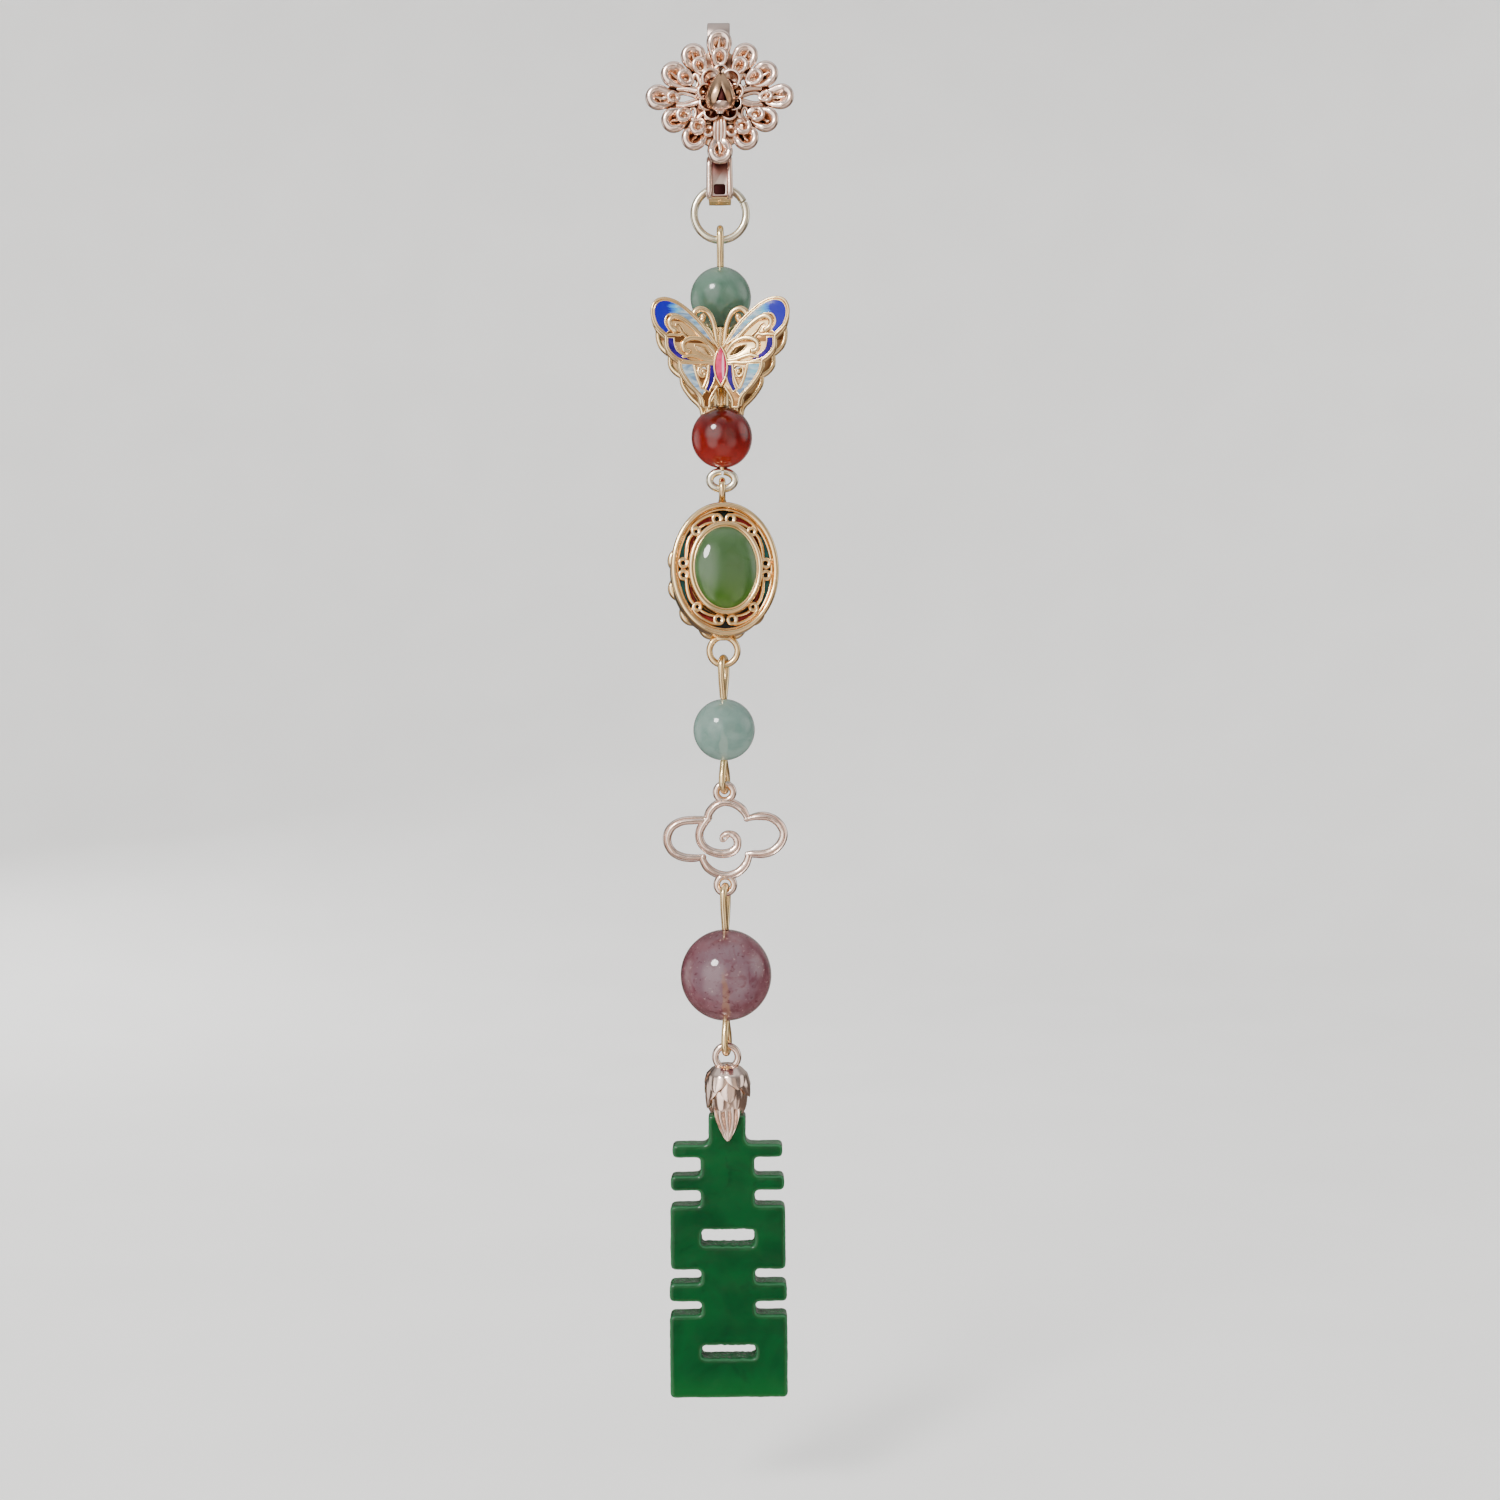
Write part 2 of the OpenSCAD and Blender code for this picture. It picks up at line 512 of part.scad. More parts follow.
clasp();
jump_ring();
upper_pin();
green_bead();
butterfly();
butterfly_blue_front();
butterfly_pale_front();
butterfly_pink_front();
butterfly_blue_back();
butterfly_pale_back();
butterfly_pink_back();
red_bead();
oval_setting();
oval_red_enamel();
oval_green_enamel();
oval_cabochon();
middle_pin();
aqua_bead();
cloud_charm();
lower_pin();
quartz_bead();
leaf_bail();
jade_tablet();
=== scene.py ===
import bpy, bmesh
from math import asin, atan2, cos, exp, pi, radians, sin, sqrt, tau
from mathutils import Matrix, Vector, noise
from mathutils.bvhtree import BVHTree


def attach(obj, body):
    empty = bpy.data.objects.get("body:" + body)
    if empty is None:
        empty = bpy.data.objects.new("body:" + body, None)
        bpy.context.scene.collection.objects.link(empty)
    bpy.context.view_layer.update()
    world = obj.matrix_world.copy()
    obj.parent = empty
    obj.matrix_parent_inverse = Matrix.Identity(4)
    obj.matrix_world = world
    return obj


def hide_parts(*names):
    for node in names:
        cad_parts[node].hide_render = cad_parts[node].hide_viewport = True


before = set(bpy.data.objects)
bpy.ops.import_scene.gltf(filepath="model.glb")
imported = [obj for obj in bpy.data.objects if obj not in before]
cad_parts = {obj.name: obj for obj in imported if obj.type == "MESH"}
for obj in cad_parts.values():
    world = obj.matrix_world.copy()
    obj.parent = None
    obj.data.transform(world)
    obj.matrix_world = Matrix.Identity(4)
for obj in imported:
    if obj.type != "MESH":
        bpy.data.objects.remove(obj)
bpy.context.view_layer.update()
print("frame loaded:", len(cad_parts), "nodes")

mm = 0.001


def turned(degrees, axis):
    return Matrix.Rotation(radians(degrees), 4, axis)


def moved(x, y, z):
    return Matrix.Translation((x, y, z))


front = turned(90, "X")    # stands a flat drawing up, facing the viewer


# Camera and studio: the lights' places and aim in metres, the rest in mm

studio = {
    "lens": 44.35, "sensor": 36, "eye": (3.34, -240, -93.5), "roll": 0.45, "aim": (0, 0, -0.09),
    "floorLevel": -193, "flatRadius": 360, "floorRadius": 900, "coveRadius": 420, "wallTop": 800,
    "paint": [(0.3, (0.8, 0.795, 0.785)), (0.7, (0.825, 0.82, 0.81))], "paintGlow": 0.28,
    "lights": [("keyLight", (-0.37, -0.56, 0.36), 0.24, 4.8, (1, 0.985, 0.96)),
               ("fillLight", (0.62, -0.5, -0.05), 0.5, 1.3, (1, 0.96, 0.92)),
               ("topLight", (0.1, 0.25, 0.62), 0.45, 2.4, (1, 1, 1)),
               ("backLight", (-0.35, 0.5, 0.1), 0.35, 1.6, (1, 1, 1))],
}

# What polished things mirror: a tone for each height, and panels by direction, size, soft edge and colour
room = {
    "even": 0.5,
    "height": [(0, (0.42, 0.36, 0.32)), (0.34, (0.16, 0.12, 0.1)), (0.5, (0.08, 0.07, 0.065)),
               (0.62, (0.1, 0.09, 0.085)), (0.8, (0.34, 0.33, 0.33)), (1, 1)],
    "panels": [((-0.5, -0.82, 0.2), 7, 34, (2.8, 2.7, 2.6)), ((0.46, -0.88, 0.02), 6, 30, (0.9, 0.74, 0.62)),
               ((0.95, 0.1, 0.3), 4, 26, (1.5, 1.45, 1.4)), ((-0.9, 0.35, 0), 3, 24, (1.2, 1.15, 1.1)),
               ((0.1, -0.55, -0.83), 4, 30, (0.9, 0.74, 0.64)), ((0.3, 0.93, 0.2), 5, 30, (0.4, 0.38, 0.36)),
               ((-0.58, -0.7, -0.42), 6, 20, (2, 1.85, 1.75)),
               ((0.62, -0.66, -0.42), 5, 18, (1.2, 1.05, 0.95))],
}


def buildCamera():
    camera = bpy.data.objects.new("studioCamera", bpy.data.cameras.new("studioCamera"))
    camera.data.lens = studio["lens"]
    camera.data.sensor_width = studio["sensor"]
    camera.data.clip_start, camera.data.clip_end = 0.01, 10
    camera.location = Vector(studio["eye"]) * mm
    camera.rotation_euler = (radians(90), radians(studio["roll"]), 0)
    bpy.context.scene.collection.objects.link(camera)
    bpy.context.scene.camera = camera


def areaLight(name, place, size, power, tint):
    light = bpy.data.lights.new(name, "AREA")
    light.shape, light.size, light.energy, light.color = "DISK", size, power, tint
    lamp = bpy.data.objects.new(name, light)
    lamp.location = place
    lamp.rotation_euler = (Vector(studio["aim"]) - Vector(place)).to_track_quat("-Z", "Y").to_euler()
    lamp.visible_camera = False
    lamp.visible_glossy = name == "keyLight"
    bpy.context.scene.collection.objects.link(lamp)


def buildStudio():
    buildCamera()
    for light in studio["lights"]:
        areaLight(*light)
    # Cove: a pale floor that curves up into the wall all round
    bm = bmesh.new()
    edge, bend = studio["floorRadius"], studio["coveRadius"]
    curve = [(edge - bend + bend * sin(a), bend - bend * cos(a)) for a in (radians(9 * i) for i in range(11))]
    profile = [(0, 0), (studio["flatRadius"], 0)] + curve + [(edge, studio["wallTop"])]
    turnProfile(bm, [(r, z + studio["floorLevel"]) for r, z in profile], 96, 0.01)
    bmesh.ops.scale(bm, vec=(mm, mm, mm), verts=bm.verts)
    mesh = bpy.data.meshes.new("paleCove")
    bm.to_mesh(mesh)
    bm.free()
    mesh.shade_smooth()
    cove = bpy.data.objects.new("paleCove", mesh)
    bpy.context.scene.collection.objects.link(cove)
    paint, tree, shader = newMaterial("palePaint")
    shade = ramp(tree, objectNoise(tree, 30), studio["paint"])
    feed(tree, shader, {"Base Color": shade, "Roughness": 0.9, "Emission Color": shade,
                        "Emission Strength": studio["paintGlow"]})
    mesh.materials.append(paint)
    cove.visible_glossy = False
    cove.visible_transmission = False
    buildRoom()


def buildRoom():
    # Even light for matt surfaces; polished ones mirror a dim room with a few soft panels
    world = bpy.data.worlds.new("studioRoom")
    world.use_nodes = True
    tree = world.node_tree
    place = coordinates(tree, "Generated")
    mirror = ramp(tree, mapRange(tree, axisOf(tree, place, "Z"), -1, 1, "LINEAR"), room["height"])
    for direction, wide, soft, colour in room["panels"]:
        aim = addNode(tree, "VectorMath", {0: place, 1: Vector(direction).normalized()},
                      operation="DOT_PRODUCT")
        share = mapRange(tree, aim.outputs["Value"], cos(radians(wide + soft)), cos(radians(wide)))
        mirror = mixColours(tree, share, mirror, colour)
    glossy = addNode(tree, "LightPath").outputs["Is Glossy Ray"]
    feed(tree, tree.nodes["Background"], {"Color": mixColours(tree, glossy, room["even"], mirror)})
    bpy.context.scene.world = world


# Node helpers: an input takes a socket, which is linked, or a plain value

def newMaterial(name):
    material = bpy.data.materials.new(name)
    material.use_nodes = True
    return material, material.node_tree, material.node_tree.nodes["Principled BSDF"]


def feed(tree, node, inputs):
    for key, value in inputs.items():
        if isinstance(value, bpy.types.NodeSocket):
            tree.links.new(value, node.inputs[key])
        else:
            node.inputs[key].default_value = value


def addNode(tree, kind, inputs=None, **settings):
    made = tree.nodes.new("ShaderNode" + kind)
    for key, value in settings.items():
        setattr(made, key, value)
    feed(tree, made, inputs or {})
    return made


def coordinates(tree, kind="Object"):
    return addNode(tree, "TexCoord").outputs[kind]


def axisOf(tree, vector, axis):
    return addNode(tree, "SeparateXYZ", {"Vector": vector}).outputs[axis]


def calculate(tree, operation, *values):
    return addNode(tree, "Math", dict(enumerate(values)), operation=operation).outputs[0]


def mapRange(tree, value, low, high, kind="SMOOTHSTEP", reach=(0, 1)):
    inputs = {"Value": value, "From Min": low, "From Max": high, "To Min": reach[0], "To Max": reach[1]}
    return addNode(tree, "MapRange", inputs, interpolation_type=kind).outputs["Result"]


def colourOf(value):
    # A grey for a plain number
    return (value, value, value, 1) if isinstance(value, (int, float)) else (*value, 1)


def ramp(tree, source, stops, kind="EASE"):
    stops = list(stops)
    made = addNode(tree, "ValToRGB", {"Fac": source})
    bar = made.color_ramp
    bar.interpolation = kind
    while len(bar.elements) < len(stops):
        bar.elements.new(0.5)
    for element, (spot, tone) in zip(bar.elements, stops):
        element.position, element.color = spot, colourOf(tone)
    return made.outputs["Color"]


def mixColours(tree, amount, *pair):
    one, two = (tone if isinstance(tone, bpy.types.NodeSocket) else colourOf(tone) for tone in pair)
    return addNode(tree, "Mix", {0: amount, 6: one, 7: two}, data_type="RGBA").outputs[2]


def layOver(tree, shader, amount, tone):
    # Mixes a tone over the colour that the shader has
    below = shader.inputs["Base Color"].links[0].from_socket
    feed(tree, shader, {"Base Color": mixColours(tree, amount, below, tone)})


def objectNoise(tree, scale, detail=4, distortion=0, stretch=None):
    place = coordinates(tree)
    if stretch:
        place = addNode(tree, "Mapping", {"Vector": place, "Scale": stretch}).outputs["Vector"]
    inputs = {"Vector": place, "Scale": scale, "Detail": detail, "Distortion": distortion}
    return addNode(tree, "TexNoise", inputs).outputs["Fac"]


def addBump(tree, shader, height, distance=0.00002, strength=1):
    made = addNode(tree, "Bump", {"Height": height, "Distance": distance, "Strength": strength})
    feed(tree, shader, {"Normal": made.outputs["Normal"]})


# Metals: two golds cloud into each other, recesses get a painted red-brown shade from the share of open rays,
# the polish has a faint ripple

metals = {
    "roseGold": {"light": (0.97, 0.81, 0.74), "warm": (0.92, 0.67, 0.55), "fold": (0.8, 0.57, 0.41),
                 "deepShade": (0.27, 0.12, 0.075), "shadeStops": ((0.28, 0.74), (0.04, 0.34)), "rough": (0.1, 0.24)},
    "budGold": {"light": (0.56, 0.38, 0.25), "warm": (0.44, 0.26, 0.15), "fold": (0.28, 0.12, 0.07),
                "deepShade": (0.1, 0.015, 0.012), "shadeStops": ((0.3, 0.8), (0.08, 0.44)), "rough": (0.14, 0.28)},
    "yellowGold": {"light": (0.99, 0.79, 0.47), "warm": (0.96, 0.65, 0.3), "fold": (0.82, 0.51, 0.22),
                   "deepShade": (0.24, 0.11, 0.04), "shadeStops": ((0.16, 0.6), (0, 0.26)), "rough": (0.12, 0.26),
                   "ripple": 0.000015},
    "innerGold": {"light": (0.52, 0.38, 0.22), "warm": (0.42, 0.28, 0.14), "fold": (0.3, 0.18, 0.08),
                  "deepShade": (0.12, 0.05, 0.02), "shadeStops": ((0.16, 0.6), (0, 0.26)), "rough": (0.24, 0.4)},
    "paleGold": {"light": (0.95, 0.92, 0.78), "warm": (0.91, 0.83, 0.6), "fold": (0.66, 0.52, 0.28),
                 "deepShade": (0.25, 0.15, 0.05), "rough": (0.14, 0.3), "ripple": 0.00001},
    "pinGold": {"light": (0.99, 0.82, 0.5), "warm": (0.97, 0.68, 0.3), "fold": (0.74, 0.45, 0.17),
                "deepShade": (0.2, 0.08, 0.03), "rough": (0.12, 0.28), "ripple": 0.00001},
    "satinStrip": {"light": (0.6, 0.5, 0.45), "warm": (0.5, 0.38, 0.34), "fold": (0.34, 0.18, 0.16),
                   "deepShade": (0.1, 0.03, 0.03), "rough": (0.26, 0.4)},
    # Near-black gold that stands in for shade: the bud's dark mouth and the sheet behind the strap window
    "darkRecess": {"light": (0.2, 0.07, 0.06), "warm": (0.12, 0.035, 0.03), "fold": (0.08, 0.02, 0.02),
                   "deepShade": (0.03, 0.008, 0.008), "rough": (0.3, 0.45), "ripple": 0.00003},
}
plainMetal = {"shadeStops": ((0.3, 0.8), (0.05, 0.36)), "ripple": 0.00002}


def metalMaterial(name):
    look = {**plainMetal, **metals[name]}
    material, tree, shader = newMaterial(name)
    tone = mixColours(tree, objectNoise(tree, 420, 3, 0.6), look["light"], look["warm"])
    # Where few rays get free, the gold turns to the fold and deep colours: painted shade in recesses and
    # between parts
    openness = addNode(tree, "Attribute", attribute_name="openness").outputs["Fac"]
    for colour, (closed, clear) in zip((look["fold"], look["deepShade"]), look["shadeStops"]):
        tone = mixColours(tree, ramp(tree, openness, [(closed, 1), (clear, 0)]), tone, colour)
    polish = mapRange(tree, objectNoise(tree, 1500, 5), 0, 1, "LINEAR", look["rough"])
    feed(tree, shader, {"Base Color": tone, "Roughness": polish, "Metallic": 1})
    addBump(tree, shader, objectNoise(tree, 900, 3), look["ripple"])
    return material


# Stones: clouded body colour, soft light inside, wet polish

stones = {
    "greenStone": {"body": (0.068, 0.135, 0.095), "cloud": (0.115, 0.2, 0.15), "vein": (0.045, 0.1, 0.065),
                   "scale": 260, "veinScale": 600, "marks": 0.3, "glow": (0.6, 1, 0.7), "depth": 1.3,
                   "rough": 0.08},
    "redStone": {"body": (0.085, 0.004, 0.004), "cloud": (0.17, 0.008, 0.006), "vein": (0.045, 0.004, 0.006),
                 "scale": 210, "veinScale": 500, "glow": (1, 0.25, 0.15), "depth": 1.6},
    "aquaStone": {"body": (0.13, 0.215, 0.185), "cloud": (0.2, 0.29, 0.255), "vein": (0.075, 0.17, 0.135),
                  "scale": 230, "veinScale": 520, "marks": 0.35, "glow": (0.7, 1, 0.9), "depth": 1.7,
                  "soft": 0.6, "rough": 0.07},
    "pinkQuartz": {"body": (0.12, 0.038, 0.05), "cloud": (0.165, 0.07, 0.085), "vein": (0.075, 0.01, 0.018),
                   "scale": 240, "veinScale": 900, "glow": (1, 0.5, 0.6), "depth": 1.8},
    "greenCabochon": {"body": (0.044, 0.098, 0.03), "cloud": (0.07, 0.13, 0.056),
                      "vein": (0.035, 0.085, 0.018), "scale": 160, "veinScale": 400, "marks": 0.4,
                      "glow": (0.6, 1, 0.4), "depth": 1.3},
    "jadeGreen": {"body": (0.002, 0.046, 0.012), "cloud": (0.003, 0.068, 0.016), "vein": (0.002, 0.03, 0.01),
                  "scale": 120, "veinScale": 300, "marks": 0.45, "glow": (0.25, 1, 0.4), "depth": 0.9,
                  "soft": 0.3, "rough": 0.14, "gloss": 0.26, "coat": 0},
}
plainStone = {"marks": 0.7, "soft": 0.5, "rough": 0.06, "gloss": 0.5, "coat": 0.3}


def stoneMaterial(name):
    look = {**plainStone, **stones[name]}
    material, tree, shader = newMaterial(name)
    cloud = ramp(tree, objectNoise(tree, look["scale"], 5, 0.8),
                 [(0.35, look["body"]), (0.68, look["cloud"])])
    veins = ramp(tree, objectNoise(tree, look["veinScale"], 6, 1.4), [(0.54, 0), (0.76, look["marks"])])
    tone = mixColours(tree, veins, cloud, look["vein"])
    if name in finishStone:
        tone = finishStone[name](tree, shader, tone)
    feed(tree, shader, {
        "Base Color": tone, "Roughness": look["rough"], "IOR": 1.5, "Specular IOR Level": look["gloss"],
        "Subsurface Weight": look["soft"], "Subsurface Radius": look["glow"],
        "Subsurface Scale": look["depth"] * mm, "Coat Weight": look["coat"], "Coat Roughness": 0.03})
    return material


def nearLine(tree, level, tall, wide, wobble, across=0):
    # 1 on an upright line, across from the middle, at that level, 0 beyond tall and wide, all in mm
    near = addNode(tree, "Mapping", {"Vector": coordinates(tree), "Location": (across * mm, 0, level * mm),
                                     "Scale": (wide * mm, 1, tall * mm)}, vector_type="TEXTURE")
    split = addNode(tree, "SeparateXYZ", {"Vector": near.outputs["Vector"]}).outputs
    flat = addNode(tree, "CombineXYZ", {axis: split[axis] for axis in "XZ"}).outputs["Vector"]
    far = addNode(tree, "VectorMath", {0: flat}, operation="LENGTH").outputs["Value"]
    uneven = calculate(tree, "MULTIPLY_ADD", objectNoise(tree, 480, 5, 0.5), wobble, -wobble / 2)
    return mapRange(tree, calculate(tree, "ADD", far, uneven), 1.15, 0.7)


def byHeight(tree, low, high):
    # 0 at the level low and 1 at the level high, in mm
    return mapRange(tree, axisOf(tree, coordinates(tree), "Z"), low * mm, high * mm)


def speckleQuartz(tree, shader, tone):
    # Cloudy grey-lilac heart, the golden drill streak below it
    tone = mixColours(tree, nearLine(tree, -122.2, 4.2, 4.4, 0.9), tone, (0.165, 0.095, 0.115))
    streak = mixColours(tree, nearLine(tree, -125.6, 3.2, 0.6, 2.4), 0, 0.62)
    tone = mixColours(tree, streak, tone, (0.26, 0.125, 0.075))
    # Dusky patches, dark red flecks and pale sparkling ones
    for grain, low, high, most, colour in (
            ((520, 6, 1), 0.52, 0.7, 0.55, (0.105, 0.018, 0.03)),
            ((1500, 6, 0.2), 0.58, 0.72, 0.7, (0.07, 0.01, 0.018)),
            ((2100, 4, 0.3, (1, 1, 1.4)), 0.63, 0.76, 0.75, (0.4, 0.24, 0.23))):
        tone = mixColours(tree, ramp(tree, objectNoise(tree, *grain), [(low, 0), (high, most)]), tone, colour)
    return tone


def drilledAqua(tree, shader, tone):
    streak = mixColours(tree, nearLine(tree, -93.2, 2.4, 0.55, 1.5), 0, 0.28)
    return mixColours(tree, streak, tone, (0.36, 0.42, 0.36))


# Yellower green towards the foot: painted glow of light from the gold setting through the stone
def glowingFoot(tree, shader, tone):
    return mixColours(tree, byHeight(tree, -70, -75.5), tone, (0.042, 0.105, 0.006))


def glowFoot(tree, shader, tone):
    return mixColours(tree, byHeight(tree, -52.5, -56.5), tone, (0.22, 0.008, 0.005))


def carvedJade(tree, shader, tone):
    # Paler where the walls and edges turn away from the face, a painted sheen; brighter towards the foot; a
    # few saw marks
    facing = calculate(tree, "ABSOLUTE", axisOf(tree, coordinates(tree, "Normal"), "Y"))
    wall = ramp(tree, facing, [(0, 0.3), (0.35, 0.4), (0.6, 0.9), (0.84, 0.7), (0.95, 0)], "LINEAR")
    tone = mixColours(tree, byHeight(tree, -173, -177.2), tone, (0.006, 0.085, 0.018))
    addBump(tree, shader, objectNoise(tree, 420, 5), strength=0.5)
    return mixColours(tree, wall, tone, (0.034, 0.14, 0.062))


finishStone = {"pinkQuartz": speckleQuartz, "aquaStone": drilledAqua, "greenCabochon": glowingFoot,
               "redStone": glowFoot, "jadeGreen": carvedJade}


# Enamels: glossy glass over colour that streaks across the cell

enamels = {
    "iceEnamel": {"colours": ((0.12, 0.2, 0.32), (0.4, 0.5, 0.56)), "spots": (0.38, 0.66), "scale": 1300,
                  "stretch": (0.5, 1, 1.6)},
    "indigoEnamel": {"colours": ((0.01, 0.001, 0.12), (0.03, 0.004, 0.22)), "tint": (0.5, 0.4, 1)},
    "pinkEnamel": {"colours": ((0.52, 0.012, 0.075), (0.66, 0.05, 0.14))},
    "darkEnamel": {"colours": ((0.003, 0.008, 0.007), (0.006, 0.018, 0.016))},
    "tealEnamel": {"colours": ((0.006, 0.052, 0.052), (0.01, 0.085, 0.075))},
    "redEnamel": {"colours": ((0.13, 0.006, 0.006), (0.21, 0.014, 0.01))},
}
plainEnamel = {"spots": (0.4, 0.65), "scale": 900, "stretch": (1, 1, 1), "tint": 1}


def enamelMaterial(name):
    look = {**plainEnamel, **enamels[name]}
    material, tree, shader = newMaterial(name)
    streaks = objectNoise(tree, look["scale"], 4, 0.5, look["stretch"])
    feed(tree, shader, {
        "Base Color": ramp(tree, streaks, zip(look["spots"], look["colours"])), "Roughness": 0.16,
        "Specular IOR Level": 0.22, "Specular Tint": colourOf(look["tint"]), "Coat Weight": 0.12,
        "Coat Roughness": 0.05})
    addBump(tree, shader, objectNoise(tree, 1400, 3), strength=0.5)
    if name in finishEnamel:
        finishEnamel[name](tree, shader)
    return material


def fadeToCobalt(tree, shader):
    # Ice blue goes through cyan to cobalt towards the wing's tip, in streaks along the leading edge
    cyan = ramp(tree, objectNoise(tree, 1000, 3, 0.4, (0.5, 1, 1.4)), [(0.5, 0), (0.7, 0.7)])
    layOver(tree, shader, cyan, (0.16, 0.5, 0.62))
    across = calculate(tree, "ABSOLUTE", axisOf(tree, coordinates(tree), "X"))
    grain = objectNoise(tree, 1600, 3, 0.3, (0.3, 1, 1.2))
    streak = calculate(tree, "MULTIPLY_ADD", grain, 2.6 * mm, -1.3 * mm)
    reach = mapRange(tree, calculate(tree, "ADD", across, streak), 5 * mm, 6.9 * mm, "LINEAR")
    blues = [(0.25, (0.1, 0.42, 0.6)), (0.55, (0.03, 0.15, 0.55)), (0.78, (0.005, 0.002, 0.3))]
    layOver(tree, shader, ramp(tree, reach, [(0, 0), (0.42, 1)]), ramp(tree, reach, blues, "LINEAR"))


def highlightStripe(tree, shader):
    # A pale stripe down the pink body: painted highlight
    layOver(tree, shader, nearLine(tree, wing["level"] - 0.1, 1.9, 0.15, 0.5, 0.28), (0.86, 0.42, 0.52))


finishEnamel = {"iceEnamel": fadeToCobalt, "pinkEnamel": highlightStripe}


def materialFor(name):
    if name in bpy.data.materials:
        return bpy.data.materials[name]
    make = metalMaterial if name in metals else stoneMaterial if name in stones else enamelMaterial
    return make(name)


# Shape helpers, all in mm

def smooth(points, steps=5, closed=False):
    # Smooth curve through the points
    count = len(points)
    out = []
    for i in range(count if closed else count - 1):
        near = (i - 1, i, i + 1, i + 2)
        a, b, c, d = (points[j % count if closed else max(0, min(count - 1, j))] for j in near)
        for k in range(steps):
            t = k / steps
            out.append(tuple(0.5 * (2 * q + (r - p) * t + (2 * p - 5 * q + 4 * r - s) * t * t
                                    + (3 * q - p - 3 * r + s) * t ** 3) for p, q, r, s in zip(a, b, c, d)))
    return out if closed else out + [tuple(points[-1])]


def mirrored(points):
    return [(-p[0], *p[1:]) for p in points]


def oval(a, b, count=72, x=0, z=0):
    return [(x + a * cos(tau * i / count), z + b * sin(tau * i / count)) for i in range(count)]


def ringPath(radius, level, count, squeeze=1):
    # Upright ring that faces the viewer
    turns = [tau * i / count for i in range(count)]
    return [(radius * sin(t), 0, level + squeeze * radius * cos(t)) for t in turns]


def flatToFront(points, y):
    return [(p[0], y, p[1]) for p in points]


def curveMesh(curve):
    shell = bpy.data.objects.new("sketch", curve)
    mesh = bpy.data.meshes.new_from_object(shell)
    bpy.data.objects.remove(shell)
    bpy.data.curves.remove(curve)
    return mesh


def join(bm, part, matrix=None, tint=0):
    # Adds a finished part, a mesh or a bmesh, to the piece; tint picks one of the piece's materials
    if isinstance(part, bmesh.types.BMesh):
        for face in part.faces:
            face.material_index = tint
        mesh = bpy.data.meshes.new("part")
        part.to_mesh(mesh)
        part.free()
    else:
        mesh = part
    if matrix:
        mesh.transform(matrix)
    bm.from_mesh(mesh)
    bpy.data.meshes.remove(mesh)


def taperAt(taper, share):
    # Value at a share of the way along an even row of numbers
    spot = share * (len(taper) - 1)
    k = min(int(spot), len(taper) - 2)
    return taper[k] + (taper[k + 1] - taper[k]) * (spot - k)


def wire(bm, points, radius, closed=False, taper=None, matrix=None, sides=4):
    # Round wire along the points; taper gives the share of the radius at even stations
    curve = bpy.data.curves.new("wire", "CURVE")
    curve.dimensions, curve.bevel_depth, curve.bevel_resolution = "3D", radius, sides
    curve.use_fill_caps = not closed
    spline = curve.splines.new("POLY")
    spline.points.add(len(points) - 1)
    last = len(points) - 1
    for i, p in enumerate(points):
        spline.points[i].co = (*p, 1)
        if taper:
            spline.points[i].radius = taperAt(taper, i / last)
    spline.use_cyclic_u = closed
    join(bm, curveMesh(curve), matrix)


def trace(bm, place, outline, y, radius, closed=False, **more):
    # Wire along a flat outline that stands up at the depth y
    wire(bm, flatToFront(outline, y), radius, closed, matrix=place, **more)


def plate(bm, outlines, back, thick, edge=0.08, matrix=None, rounds=2, tint=0):
    # Flat plate that faces the viewer: the first outline filled, the others cut through, the edges rounded
    curve = bpy.data.curves.new("plate", "CURVE")
    curve.dimensions, curve.fill_mode = "2D", "BOTH"
    curve.extrude, curve.bevel_depth, curve.bevel_resolution = thick / 2 - edge, edge, rounds
    curve.offset = -edge
    for outline in outlines:
        spline = curve.splines.new("POLY")
        spline.points.add(len(outline) - 1)
        for point, p in zip(spline.points, outline):
            point.co = (p[0], p[1], 0, 1)
        spline.use_cyclic_u = True
    part = bmesh.new()
    place = moved(0, back - thick / 2, 0) @ front
    join(part, curveMesh(curve), matrix @ place if matrix else place)
    bmesh.ops.remove_doubles(part, verts=part.verts, dist=0.0005)
    join(bm, part, None, tint)


def turnProfile(bm, profile, steps, near=0.0005):
    # Turns a profile of (radius, height) round the upright axis
    chain = [bm.verts.new((r, 0, z)) for r, z in profile]
    edges = [bm.edges.new(pair) for pair in zip(chain, chain[1:])]
    bmesh.ops.spin(bm, geom=chain + edges, axis=(0, 0, 1), cent=(0, 0, 0), angle=tau, steps=steps,
                   use_merge=True)
    bmesh.ops.remove_doubles(bm, verts=bm.verts, dist=near)


def spun(bm, profile, steps, matrix=None, tint=0):
    part = bmesh.new()
    turnProfile(part, profile, steps)
    join(bm, part, matrix, tint)


def ball(bm, centre, radii, rings=14, matrix=None):
    part = bmesh.new()
    bmesh.ops.create_uvsphere(part, u_segments=rings * 2, v_segments=rings, radius=1)
    bmesh.ops.scale(part, vec=radii, verts=part.verts)
    bmesh.ops.translate(part, vec=centre, verts=part.verts)
    join(bm, part, matrix)


